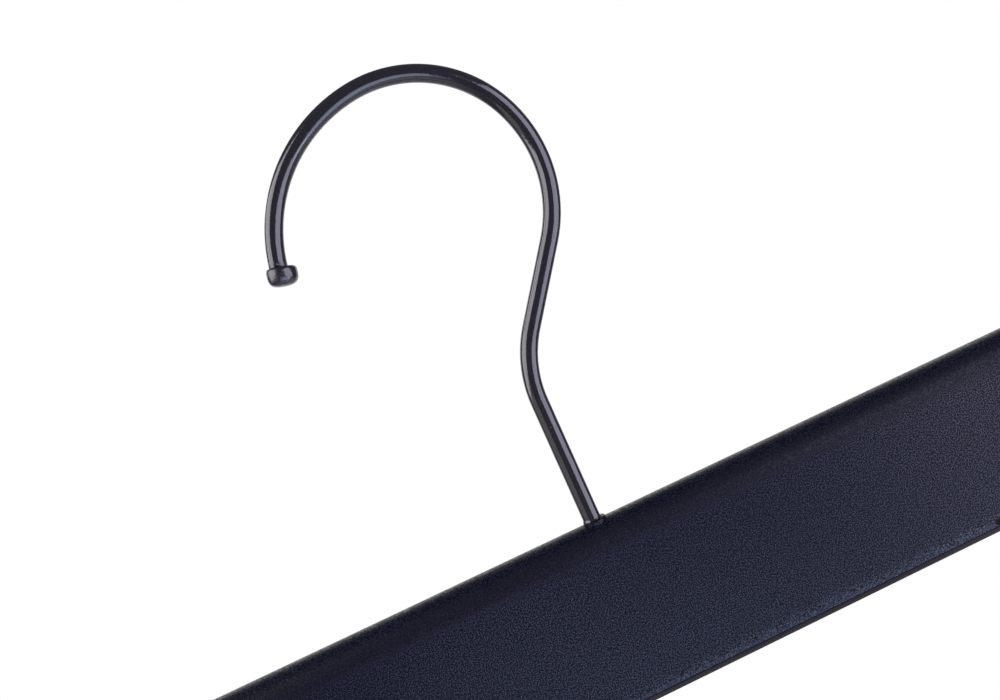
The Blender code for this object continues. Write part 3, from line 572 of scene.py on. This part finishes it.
def barOutline():  # (y, z) from the crest's top, round the rail and up the face
    s = barShape
    front, back = -s["depth"] / 2, s["depth"] / 2
    lip = front + s["lipSetback"]
    lipTop = -s["height"] + s["lip"]
    faceFoot = lipTop + s["groove"]
    crownRadius = (back ** 2 + s["railCrown"] ** 2) / (2 * s["railCrown"])
    crownTurn = math.degrees(math.asin(back / crownRadius))
    crownMiddle = (0, -s["height"] - s["railCrown"] + crownRadius)
    crown = arcPoints(crownMiddle, crownRadius, crownTurn - 90, -crownTurn - 90, s["crownSteps"])
    crown = [point for point in crown if lip + s["crownTrim"][0] < point[0] < back - s["crownTrim"][1]]
    radius, rise = s["backCorner"]
    cornerBack = arcPoints((back - radius, -s["height"] + rise), radius, 0, -70, s["cornerSteps"])
    radius, rise = s["lipFoot"]
    lipFoot = arcPoints((lip + radius, -s["height"] - s["lipDrop"] + rise), radius, 250, 180, s["lipSteps"])
    radius = s["lipHead"]
    lipHead = arcPoints((lip + radius, lipTop - radius), radius, 180, 90, s["lipSteps"])
    groove = [(lip + s["grooveDepth"], lipTop), (lip + s["grooveDepth"], faceFoot)]
    radius, steps = s["faceEdge"], s["edgeSteps"]
    edge = arcPoints((front + s["faceSetback"] + radius, faceFoot + radius), radius, 270, 180, steps)
    roll = [(front + s["faceSetback"] * (1 - math.sin(math.pi / 2 * k / steps)),
             faceFoot + radius + (s["faceRoll"] - radius) * k / steps) for k in range(1, steps + 1)]
    crest = arcPoints((0, -s["crest"] - s["crestDrop"]), s["crest"], 180, 90, s["crestSteps"])
    rear = arcPoints((0, -s["crestBack"] - s["crestDrop"]), (back, s["crestBack"]), 90, 0, s["rearSteps"])[1:]
    return cornerBack + crown + lipFoot + lipHead + groove + edge + roll + crest + rear


def makeBarBody():
    s = barShape
    outline = barOutline()
    middle = -s["height"] / 2
    reach = s["length"] / 2
    ends = [(reach - s["endRadius"] * (1 - math.sin(a)), s["endRadius"] * (1 - math.cos(a))) for a in quarterTurn]
    stations = [(-x, inset) for x, inset in reversed(ends)] + ends
    loops = []
    for x, inset in stations:
        across = 1 - inset / (s["depth"] / 2)
        tall = 1 - inset / (s["height"] / 2)
        loops.append([(x, y * across, crestZ + middle + (z - middle) * tall) for y, z in outline])
    return drawForm("barMoulding", loops)


def cutHollow(bar):  # the open back
    s = barShape
    front, back = -s["depth"] / 2 + s["skin"], s["depth"] / 2 + overrun
    top = crestZ - s["topWall"]
    curve = arcPoints((front + s["fillet"], top - s["fillet"]), s["fillet"], 180, 90, s["edgeSteps"])
    outline = [(front, railTop)] + curve + [(back, top + s["topDraft"]), (back, railTop)]
    reach = s["length"] / 2 - s["endWall"]
    combine(bar, drawPlate("hollow", outline, -reach, reach, "X"), "DIFFERENCE")
    rim = s["depth"] / 2 - 2 * hair

    def onRim(a, b):  # inner edges of the open back
        inside = max(abs(a.x), abs(b.x)) < reach + 10 * hair and max(a.z, b.z) < crestZ - s["rimTop"]
        return inside and min(a.y, b.y) > rim

    softenEdges(bar, onRim, s["rimEdge"])


def addPlate(bar, outline, setback, isLong):  # stands on the back of the face, its long back edges softened
    s = barShape
    back = s["depth"] / 2 - setback
    plate = drawPlate("rib", outline, -s["depth"] / 2 + s["skin"] - s["sink"], back)
    softenEdges(plate, lambda a, b: min(a.y, b.y) > back - hair and isLong(a - b), ribShape["edge"])
    combine(bar, plate, "UNION")


def addRib(bar, top, foot, halfWidth, setback):
    outline = [(top[0] - halfWidth, top[1]), (top[0] + halfWidth, top[1]),
               (foot[0] + halfWidth, foot[1]), (foot[0] - halfWidth, foot[1])]
    addPlate(bar, outline, setback, lambda arm: abs(arm.z) > ribShape["longRib"])


def addRibs(bar):
    s, r = barShape, ribShape
    reach = s["length"] / 2 - s["endWall"]
    bays = round((reach - r["first"]) / r["pitch"])
    places = [r["first"] + (reach - r["first"]) * i / bays for i in range(bays + 1)]
    top = crestZ - s["topWall"] + s["sink"]
    shelfLow = railTop + slotShape["height"] + r["shelfLift"]
    shelfHigh = shelfLow + r["shelf"]
    shelfStart = max(place for place in places if place < slotShape["inner"] - slotShape["height"])
    for side in (-1, 1):
        low, high = sorted((side * shelfStart, side * (reach + s["sink"])))
        outline = [(low, shelfLow), (high, shelfLow), (high, shelfHigh), (low, shelfHigh)]
        addPlate(bar, outline, r["shelfSetback"], lambda arm: abs(arm.x) > r["longShelf"])
        for i, place in enumerate(places[:-1]):
            foot = (shelfHigh if place > shelfStart else railTop) - s["sink"]
            addRib(bar, (side * place, top), (side * place, foot), r["upright"] / 2, r["uprightSetback"])
            foot = (shelfHigh if place >= shelfStart else railTop) - s["sink"]
            near, far = side * place, side * places[i + 1]
            topX, lowX = (near, far) if i % 2 else (far, near)
            lean = math.atan2(top - foot, abs(far - near))
            addRib(bar, (topX, top), (lowX, foot), r["brace"] / 2 / math.sin(lean), r["braceSetback"])


def addBoss(bar):
    s, b = barShape, bossShape
    top, low = crestZ - s["topWall"] + s["sink"], crestZ - s["topWall"] - b["length"]
    edge = [(low + rise, b["radius"] - inset) for rise, inset in b["edge"]]
    profile = ((low, 0.0), *edge, (top, b["radius"]), (top, 0.0))
    combine(bar, drawTurned("boss", profile, "Z", b["steps"]), "UNION")
    foot, radius = crestZ - s["crest"] / 2, b["collarEdge"]
    edge = [(crestZ + collarHeight - radius + radius * math.sin(math.radians(a)),
             b["collarTop"] - radius + radius * math.cos(math.radians(a))) for a in (30, 60, 90)]
    profile = ((foot, 0.0), (foot, b["collar"]), (crestZ + collarHeight / 2, b["collar"]), *edge,
               (crestZ + collarHeight, 0.0))
    collar = drawTurned("collar", profile, "Z", b["collarSteps"])
    combine(bar, copyTo(collar, "collarPlaced", (b["collarShift"], 0, 0)), "UNION")
    bpy.data.objects.remove(collar)
    foot, high = low - overrun, crestZ + overrun
    throat = crestZ - b["throatDepth"]
    profile = ((foot, 0.0), (foot, b["bore"]), (throat - b["throatTaper"], b["bore"]), (throat, b["throat"]),
               (high, b["throat"]), (high, 0.0))
    combine(bar, drawTurned("bore", profile, "Z", b["steps"]), "DIFFERENCE")


def cutSlots(bar):
    s, t = barShape, slotShape
    radius = t["height"] / 2
    middle = railTop + radius
    front = -s["depth"] / 2
    for side in (-1, 1):
        low, high = sorted((side * t["inner"], side * t["outer"]))
        outline = arcPoints((low + radius, middle), radius, 270, 90, t["steps"])
        outline += arcPoints((high - radius, middle), radius, 90, -90, t["steps"])
        mouth = [(t["flare"] * depth, share) for depth, share in t["mouth"]]
        loops = []
        for depth, share in [(-overrun, 1.0), *mouth, (s["skin"] + overrun, 0.0)]:  # the mouth flares a little
            grow = t["flare"] * share
            centre = (low + high) / 2
            alongX = 1 + grow / ((high - low) / 2)
            alongZ = 1 + grow / radius if share else 1
            loops.append([(centre + (x - centre) * alongX, front + depth, middle + max((z - middle) * alongZ, -radius))
                          for x, z in outline])
        combine(bar, drawForm("slot", loops), "DIFFERENCE")


def makeBar():
    bar = makeBarBody()
    cutHollow(bar)
    addRibs(bar)
    addBoss(bar)
    cutSlots(bar)
    return smoothPiece(bar, barShape["smooth"])


bar = makeBar()
dress(bar, "navy_black_plastic", "bar_channel", "bar")
bar.data.materials[0] = makePlastic("navyBlackBar", True)
print("bar made:", len(bar.data.polygons), "faces")


# clips, each piece drawn once about its hinge axis

pivots = {"left": Vector((-0.1574, 0, -0.145629)), "right": Vector((0.1574, 0, -0.145629))}
clipShape = {
    "inner": 0.0034, "seat": 0.00235, "wall": 0.0020, "flange": 0.0012, "flangeWall": 0.0014,
    "topWidth": 0.0250, "hingeWidth": 0.0270, "gripWidth": 0.0360, "topCorner": 0.0030, "gripCorner": 0.0045,
    "straight": 0.0070, "setRadius": 0.0100, "seatLength": 0.0112, "earFoot": 0.0042,
    "tab": 0.0125, "tabAngle": 30.0, "tabBend": 0.0040, "bendStep": 1.5,
    "edge": 0.0009, "rim": 0.0003, "fillet": 0.0004, "edgeSteps": 6, "rimSteps": 3, "filletSteps": 4,
    "endEdge": 0.0006, "flangeEnd": 0.1, "flangeFade": 0.0040,
    "ridges": 4, "ridgePitch": 0.0022, "ridgeWidth": 0.0011, "ridgeHeight": 0.0005, "ridgeStart": 0.0018,
    "ridgeSlope": 0.6, "ridgeOffsets": (0.0012, 0.0018, 0.0021, 0.0024, 0.0028, 0.0036), "ridgeFades": (1.3, 1.4),
    "step": 0.0004, "fineStep": 0.0001, "leastGaps": (0.4, 0.2),
    "earRadius": 0.0030, "earThickness": 0.0018, "rearEar": 0.0117, "frontEar": 0.0095, "earEdge": 0.00025,
    "noseSteps": 30, "hole": 0.0014, "holeSteps": 40, "carrierTop": 0.0171, "smooth": 34,
}


def smoothStep(share):
    share = min(1.0, max(0.0, share))
    return share * share * (3 - 2 * share)


def traceRoute(start, heading, runs):  # (y, z, heading, walked) along straight runs and arcs
    y, z = start
    walked = 0.0
    stops = [(y, z, heading, walked)]
    for run in runs:
        if not isinstance(run, tuple):
            y, z, walked = y + run * math.cos(heading), z + run * math.sin(heading), walked + run
            stops.append((y, z, heading, walked))
            continue
        radius, sweep = run
        side = math.copysign(1, sweep)
        centre = (y - side * radius * math.sin(heading), z + side * radius * math.cos(heading))
        count = math.ceil(abs(sweep) / math.radians(clipShape["bendStep"]))
        for i in range(1, count + 1):
            now = heading + sweep * i / count
            stops.append((centre[0] + side * radius * math.sin(now), centre[1] - side * radius * math.cos(now), now,
                          walked + radius * abs(sweep) * i / count))
        y, z, heading, walked = stops[-1]
    return stops


def stopAt(route, distance):  # (y, z, heading) at a distance along a route
    for (y0, z0, h0, w0), (y1, z1, h1, w1) in zip(route, route[1:]):
        if distance <= w1:
            share = (distance - w0) / (w1 - w0)
            return y0 + (y1 - y0) * share, z0 + (z1 - z0) * share, h0 + (h1 - h0) * share
    return route[-1][:3]


def roundedHalf(half, fromEdge, corner):  # half width at a distance from an end with round corners
    if fromEdge >= corner:
        return half
    return half - corner + math.sqrt(corner ** 2 - (corner - fromEdge) ** 2)


def gripHalf(fromEdge):
    return roundedHalf(clipShape["gripWidth"] / 2, fromEdge, clipShape["gripCorner"])


def jawHalf(distance, total):  # half width of a jaw at a distance down its inner side
    s = clipShape
    grip = total - s["seatLength"]
    hinge = grip - s["straight"]
    if distance >= grip:
        return gripHalf(max(0.0, total - distance))
    if distance >= hinge:
        blend = (1 - math.cos(math.pi * (distance - hinge) / s["straight"])) / 2
        return (s["hingeWidth"] + (s["gripWidth"] - s["hingeWidth"]) * blend) / 2
    share = min(1, distance / (hinge - 2 * s["earFoot"]))
    return roundedHalf((s["topWidth"] + (s["hingeWidth"] - s["topWidth"]) * share) / 2, distance, s["topCorner"])


def ridgeRise(distance):  # of the finger ridges across a tab
    s = clipShape
    number, place = divmod(distance - s["ridgeStart"], s["ridgePitch"])
    off = abs(place - s["ridgePitch"] / 2) / (s["ridgeWidth"] / 2)
    return s["ridgeHeight"] * smoothStep((1 - off) / s["ridgeSlope"]) if 0 <= number < s["ridges"] else 0.0


def jawSection(half, wall, rise):  # (x, height over the inner side): a shallow tray with rounded edges
    s = clipShape
    edge, rim, fillet = s["edge"], s["rim"], s["fillet"]
    low, inside = -s["flange"], half - s["flangeWall"]
    side = arcPoints((half - edge, wall - edge), edge, 90, 0, s["edgeSteps"])
    side += arcPoints((half - rim, low + rim), rim, 0, -90, s["rimSteps"])
    side += arcPoints((inside + rim, low + rim), rim, -90, -180, s["rimSteps"])
    side += arcPoints((inside - fillet, -fillet), fillet, 0, 90, s["filletSteps"])
    offsets, (late, steep) = s["ridgeOffsets"], s["ridgeFades"]
    foot = offsets[0] * late
    fades = [smoothStep((offset - foot) / (offsets[-1] - foot) * steep) for offset in offsets]
    outer = [(half - offset, wall + rise * fade) for offset, fade in zip(offsets, fades)]
    flat = [(-x, h) for x, h in outer] + [(0.0, wall + rise)] + outer[::-1]
    return flat + side + [(-x, h) for x, h in side[::-1]]


def makeJawShell(name, route, side):
    s = clipShape
    total = route[-1][3]
    spots = [s["step"] * i for i in range(int(total / s["step"]) + 1)] + [total]
    spots += [stop[3] for stop in route]
    for angle in quarterTurn:
        share = 1 - math.cos(angle)
        spots += [s["topCorner"] * share, s["endEdge"] * share]
        spots += [total - s["gripCorner"] * share, total - s["endEdge"] * share]
    first = s["ridgeStart"] + (s["ridgePitch"] - s["ridgeWidth"]) / 2
    last = s["ridgeStart"] + s["ridgePitch"] * s["ridges"]
    spots += [first + s["fineStep"] * i for i in range(int((last - first) / s["fineStep"]))]
    kept = [0.0]
    gap, endGap = [s["fineStep"] * share for share in s["leastGaps"]]
    for spot in sorted(spots):
        if spot - kept[-1] > gap and total - spot > endGap:
            kept.append(spot)
    loops = []
    for spot in kept + [total]:
        y, z, heading = stopAt(route, spot)
        fromEnd = min(spot, total - spot)
        drop = s["endEdge"] - roundedHalf(s["endEdge"], fromEnd, s["endEdge"])
        out = Vector((0, -side * math.sin(heading), side * math.cos(heading)))
        section = jawSection(jawHalf(spot, total), s["wall"] - drop, ridgeRise(spot))
        fade = max(s["flangeEnd"], smoothStep(spot / s["flangeFade"]))  # the side flanges run out at the top
        loops.append([Vector((x, y, z)) + out * (height if height > 0 else height * fade) for x, height in section])
    return drawForm(name, loops)


def setSweep():  # of the two bends that set a jaw in
    return math.acos(1 - (clipShape["inner"] - clipShape["seat"]) / (2 * clipShape["setRadius"]))


def gripRuns(side):  # straight past the spring, then set in to the pad's seat
    s = clipShape
    sweep = setSweep()
    return [s["straight"], (s["setRadius"], -side * sweep), (s["setRadius"], side * sweep), s["seatLength"]]


def addEars(jaw, side, outside, lean):
    s = clipShape
    sink = barShape["sink"]
    bend = -s["inner"] * math.tan(lean / 2)
    highFoot = side * (s["inner"] + sink + (s["earFoot"] - bend) * math.tan(lean))
    nose = arcPoints((0, 0), s["earRadius"], 90, 90 + side * 180, s["noseSteps"])
    outline = [(highFoot, s["earFoot"])] + nose + [(side * (s["inner"] + sink), -s["earFoot"])]
    for low in (outside - s["earThickness"], -outside):
        ear = drawPlate("ear", outline, low, low + s["earThickness"], "X")
        softenEdges(ear, lambda a, b: abs(a.x - b.x) < hair, s["earEdge"])
        combine(jaw, ear, "UNION")
    reach = s["hingeWidth"] / 2 + overrun
    profile = ((-reach, 0), (-reach, s["hole"]), (reach, s["hole"]), (reach, 0))
    combine(jaw, drawTurned("hole", profile, "X", s["holeSteps"]), "DIFFERENCE")


carrierShape = {
    "width": 0.0150, "frontOut": -0.0066, "frontIn": -0.0053, "backIn": 0.0053, "backOut": 0.0066,
    "low": 0.0160, "bridgeTop": 0.0182, "stubTop": 0.0189, "barbLow": 0.0192, "tongueLow": 0.0205, "tongueTop": 0.0215,
    "corner": 0.00035, "cornerSteps": 4, "edge": 0.00018,
}


def addCarrier(jaw):  # the hook that wraps the bar's rail
    s = carrierShape
    outline = roundCorners([
        (s["frontOut"], s["low"]), (s["frontOut"], s["tongueTop"]), (s["backOut"], s["tongueTop"]),
        (s["backOut"], s["barbLow"]), (s["backIn"], s["barbLow"]), (s["backIn"], s["tongueLow"]),
        (s["frontIn"], s["tongueLow"]), (s["frontIn"], s["bridgeTop"]), (s["backIn"], s["bridgeTop"]),
        (s["backIn"], s["stubTop"]), (s["backOut"], s["stubTop"]), (s["backOut"], s["low"])],
        s["corner"], s["cornerSteps"])
    carrier = drawPlate("carrier", outline, -s["width"] / 2, s["width"] / 2, "X")
    softenEdges(carrier, lambda a, b: abs(a.x - b.x) < hair, s["edge"])
    combine(jaw, carrier, "UNION")


def makeRearJaw():
    s = clipShape
    route = traceRoute((s["inner"], s["carrierTop"]), -math.pi / 2, [s["carrierTop"] + s["earFoot"], *gripRuns(1)])
    jaw = makeJawShell("rearJaw", route, 1)
    addCarrier(jaw)
    addEars(jaw, 1, s["rearEar"], 0)
    return smoothPiece(jaw, s["smooth"])


def makeFrontJaw():
    s = clipShape
    lean = math.radians(s["tabAngle"])
    drop, cutBack = s["inner"] * math.tan(lean / 2), s["tabBend"] * math.tan(lean / 2)
    arm = s["tab"] + cutBack
    top = (-s["inner"] - arm * math.sin(lean), -drop + arm * math.cos(lean))
    runs = [s["tab"], (s["tabBend"], -lean), s["earFoot"] - drop - cutBack, *gripRuns(-1)]
    jaw = makeJawShell("frontJaw", traceRoute(top, lean - math.pi / 2, runs), -1)
    addEars(jaw, -1, s["frontEar"], lean)
    return smoothPiece(jaw, s["smooth"])


pinShape = {"radius": 0.0011, "half": 0.0120, "head": 0.0020, "headLength": 0.0009, "dome": 0.0006, "edge": 0.0001,
            "steps": 40, "smooth": 40}


def makePin():  # riveted over at both ends
    s = pinShape
    flat = s["half"] + s["headLength"] - s["dome"]
    head = [(flat + s["dome"] * math.cos(a), s["head"] * math.sin(a)) for a in quarterTurn]
    head += [(s["half"] + s["edge"], s["head"]), (s["half"], s["head"] - s["edge"]), (s["half"], s["radius"])]
    profile = [(-place, radius) for place, radius in head] + head[::-1]
    return smoothPiece(drawTurned("hingePin", profile, "X", s["steps"]), s["smooth"])


padShape = {
    "length": 0.0104, "thickness": 0.0019, "gap": 0.00015, "margin": 0.0004, "sideGap": 0.0003,
    "teeth": 5, "toothHeight": 0.0005, "end": 0.0006, "slope": 0.3, "soft": 0.00012,
    "edge": 0.00025, "endShare": 0.1, "step": 0.0001, "smooth": 34,
}


def toothSetback(down):  # how far the pad's face stands back, as moulded
    s = padShape
    pitch = (s["length"] - 2 * s["end"]) / s["teeth"]
    if not s["end"] < down < s["length"] - s["end"]:
        return s["toothHeight"]
    place = (down - s["end"]) / pitch % 1
    return s["toothHeight"] * (1 - min(1, place / s["slope"], (1 - place) / s["slope"]))


def makePad(name, side):
    s = padShape
    count = round(s["length"] / s["step"])
    spots = [s["length"] * i / count for i in range(count + 1)]
    spots += [s["edge"] * s["endShare"], s["length"] - s["edge"] * s["endShare"]]
    seatTop = -clipShape["earFoot"] - clipShape["straight"] - 2 * clipShape["setRadius"] * math.sin(setSweep())
    middle = seatTop - clipShape["seatLength"] / 2
    loops = []
    for down in sorted(spots):
        setback = sum(toothSetback(down + s["soft"] * i / 2) for i in (-2, -1, 0, 1, 2)) / 5
        inset = s["edge"] - roundedHalf(s["edge"], min(down, s["length"] - down), s["edge"])
        half = gripHalf(s["length"] + s["margin"] - down) - clipShape["flangeWall"] - s["sideGap"] - inset
        face, back = s["gap"] + setback + inset, s["gap"] + s["thickness"] - inset
        outline = roundCorners([(half, face), (half, back), (-half, back), (-half, face)], s["edge"])
        loops.append([(x, side * y, middle + s["length"] / 2 - down) for x, y in outline])
    return smoothPiece(drawForm(name, loops), s["smooth"])


clipPieces = {
    "RearJaw": (makeRearJaw(), "navy_black_plastic", "_clip", "_rear_jaw"),
    "FrontJaw": (makeFrontJaw(), "navy_black_plastic", "_jaw", "_front_jaw"),
    "HingePin": (makePin(), "zinc_plated_steel", "_clip", "_hinge_pin"),
    "RearPad": (makePad("rearPad", 1), "soft_black_pad", "_clip", "_rear_pad"),
    "FrontPad": (makePad("frontPad", -1), "soft_black_pad", "_jaw", "_front_pad"),
}
for title, (piece, slotName, body, node) in clipPieces.items():
    for side, pivot in pivots.items():
        dress(copyTo(piece, side + title, pivot), slotName, side + body, side + node)
    bpy.data.objects.remove(piece)
print("clips made")


# torsion springs

springShape = {
    "wire": 0.0010, "radius": 0.0026, "pitch": 0.00155, "turns": 4, "rear": 0.0100, "front": 0.0105, "lean": 30.0,
    "perTurn": 40, "sides": 12, "legShares": (0.2, 0.4, 0.6, 0.8, 1), "endRings": (0.9, 0.6), "blendHalf": 0.0026,
    "smooth": 50,
}


def springPath():  # rear leg, coils, front leg
    s = springShape
    lean = math.radians(s["lean"])
    sweep = math.tau * s["turns"] + math.pi - lean
    length = s["pitch"] * sweep / math.tau
    start = -length / 2
    points = [Vector((start, s["radius"], s["rear"] * share)) for share in reversed(s["legShares"])]
    count = math.ceil(s["perTurn"] * sweep / math.tau)
    for i in range(count + 1):
        a = -sweep * i / count
        points.append(Vector((start + length * i / count, s["radius"] * math.cos(a), s["radius"] * math.sin(a))))
    up = Vector((0, -math.sin(lean), math.cos(lean)))
    end = points[-1]
    return points + [end + up * s["front"] * share for share in s["legShares"]]


def makeSpring():
    s = springShape
    path = springPath()
    tangents = [(path[min(i + 1, len(path) - 1)] - path[max(i - 1, 0)]).normalized() for i in range(len(path))]
    normal = Vector((1, 0, 0))
    loops = []
    for point, tangent in zip(path, tangents):
        normal = (normal - tangent * normal.dot(tangent)).normalized()
        other = tangent.cross(normal)
        turns = [math.tau * k / s["sides"] for k in range(s["sides"])]
        loops.append([point + (normal * math.cos(t) + other * math.sin(t)) * s["wire"] / 2 for t in turns])
    first, last = loops[0], loops[-1]
    for share in s["endRings"]:  # slightly rounded cut ends
        loops.insert(0, [path[0] + (p - path[0]) * share for p in first])
        loops.append([path[-1] + (p - path[-1]) * share for p in last])
    return drawForm("spring", loops)


spring = smoothPiece(makeSpring(), springShape["smooth"])
for side, pivot in pivots.items():
    twin = copyTo(spring, side + "Spring", pivot)
    twin.data.materials.clear()
    twin.data.materials.append(finishes["spring_steel"])
    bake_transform(twin)
    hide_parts(side + "_spring")
bpy.data.objects.remove(spring)
print("springs made")


# the CAD model's own finishes, though scene pieces stand for all of it

slotOf = {row["node"]: row["material_slot"] for row in frame["record"]["subparts"]}
for name, node in frame["nodes"].items():
    for place in node.material_slots:
        place.material = finishes[slotOf[name]]


# studio: floor, backdrop, world and lamps

cameraPlace = Vector((-0.01708, -0.18754, 0.04816 + crestZ))  # fitted to the photo, as its axes are
cameraRight = Vector((0.90769, -0.0918, -0.40948))
cameraUp = Vector((0.4128, 0.01973, 0.91061))
cameraBack = Vector((-0.07552, -0.99558, 0.0558))

stageShape = {
    "floorDrop": 0.85, "floorSize": 8.0, "wallAway": 0.95, "wallMiddle": 0.02, "wallWidth": 1.8, "wallTop": 0.62,
    "colour": (0.8, 0.8, 0.8, 1), "roughness": 0.9, "world": (0.175, 0.172, 0.225, 1), "aimRise": 0.03,
}


def makeWhiteFinish(name):  # white for the camera and in reflections, plain for all other light
    finish = Finish(name, Base_Color=stageShape["colour"], Roughness=stageShape["roughness"])
    tree = finish.tree
    light = tree.nodes.new("ShaderNodeEmission")
    rays = tree.nodes.new("ShaderNodeLightPath")
    share = Signal(finish, rays.outputs["Is Camera Ray"])
    for ray in ("Is Glossy Ray", "Is Transmission Ray"):
        share = share.maths("MAXIMUM", Signal(finish, rays.outputs[ray]))
    mix = tree.nodes.new("ShaderNodeMixShader")
    tree.links.new(share.socket, mix.inputs[0])
    tree.links.new(finish.shader.outputs[0], mix.inputs[1])
    tree.links.new(light.outputs[0], mix.inputs[2])
    tree.links.new(mix.outputs[0], tree.nodes["Material Output"].inputs["Surface"])
    return finish.material


def facing(out, roll):  # upright to the camera apart from the roll, its back to the direction out
    across = cameraUp.cross(out).normalized()
    across.rotate(Quaternion(out, math.radians(roll)))
    return Matrix((across, out.cross(across), out)).transposed().to_quaternion()


def addCard(name, width, height, place, lean, finish):
    deselectAll()
    bpy.ops.mesh.primitive_plane_add(size=1.0, location=place, rotation=(math.radians(lean), 0, 0))
    card = bpy.context.object
    card.name = name
    card.scale = (width, height, 1)
    card.data.materials.append(finish)


floorFinish = Finish("floorFinish", Base_Color=stageShape["colour"], Roughness=stageShape["roughness"]).material
addCard("floor", stageShape["floorSize"], stageShape["floorSize"], (0, 0, -stageShape["floorDrop"]), 0, floorFinish)
wallHeight = stageShape["wallTop"] + stageShape["floorDrop"]  # the white wall stands on the floor
wallPlace = (stageShape["wallMiddle"], stageShape["wallAway"], stageShape["wallTop"] - wallHeight / 2)
addCard("backdrop", stageShape["wallWidth"], wallHeight, wallPlace, 90, makeWhiteFinish("backdropFinish"))

world = bpy.data.worlds.new("studio")
bpy.context.scene.world = world
world.use_nodes = True
world.node_tree.nodes["Background"].inputs["Color"].default_value = stageShape["world"]
world.node_tree.nodes["Background"].inputs["Strength"].default_value = 1.0

lamps = {  # angles from the camera's own axes, seen from the hook
    "leftSoftbox": {"side": -72, "rise": 4, "roll": 20, "away": 0.9, "width": 1.00, "height": 0.90, "radiance": 2.5,
                    "colour": (0.98, 0.95, 1.02)},
    "rightSoftbox": {"side": 54, "rise": 16, "roll": 37, "away": 0.9, "width": 0.92, "height": 1.24, "radiance": 2.15,
                     "colour": (0.84, 0.84, 1.06)},
    "lowerRightCard": {"side": 35, "rise": -31, "roll": 0, "away": 0.9, "width": 1.1, "height": 0.50, "radiance": 1.4,
                       "colour": (0.76, 0.88, 1.28)},
    "lowerLeftCard": {"side": -68, "rise": -32, "roll": 0, "away": 0.9, "width": 1.1, "height": 0.30, "radiance": 0.45,
                      "colour": (1.1, 1.0, 0.9)},
    "rearFill": {"side": 180, "rise": 0, "roll": 24, "away": 0.8, "width": 1.2, "height": 0.9, "radiance": 1.0,
                 "colour": (1.0, 1.0, 1.0), "mirrored": False},  # stands for the light of the white wall
}
aim = Vector((0, 0, crestZ + stageShape["aimRise"]))
for name, s in lamps.items():
    side, rise = math.radians(s["side"]), math.radians(s["rise"])
    out = (cameraRight * math.sin(side) + cameraBack * math.cos(side)) * math.cos(rise) + cameraUp * math.sin(rise)
    lamp = bpy.data.lights.new(name, "AREA")
    lamp.shape = "RECTANGLE"
    lamp.size, lamp.size_y = s["width"], s["height"]
    lamp.energy = s["radiance"] * math.pi * s["width"] * s["height"]
    lamp.color = s["colour"]
    light = bpy.data.objects.new(name, lamp)
    bpy.context.scene.collection.objects.link(light)
    light.location = aim + out * s["away"]
    light.rotation_mode = "QUATERNION"
    light.rotation_quaternion = facing(out, s["roll"])
    light.visible_camera = False
    light.visible_glossy = s.get("mirrored", True)


# camera

def makeCamera():
    view = bpy.data.cameras.new("camera")
    view.lens, view.sensor_width = 35.523, 36.0
    view.clip_start, view.clip_end = 0.01, 20.0
    camera = bpy.data.objects.new("camera", view)
    bpy.context.scene.collection.objects.link(camera)
    camera.location = cameraPlace
    camera.rotation_mode = "QUATERNION"
    camera.rotation_quaternion = Matrix((cameraRight, cameraUp, cameraBack)).transposed().to_quaternion()
    bpy.context.scene.camera = camera


makeCamera()
bpy.context.scene.view_settings.view_transform = "Standard"
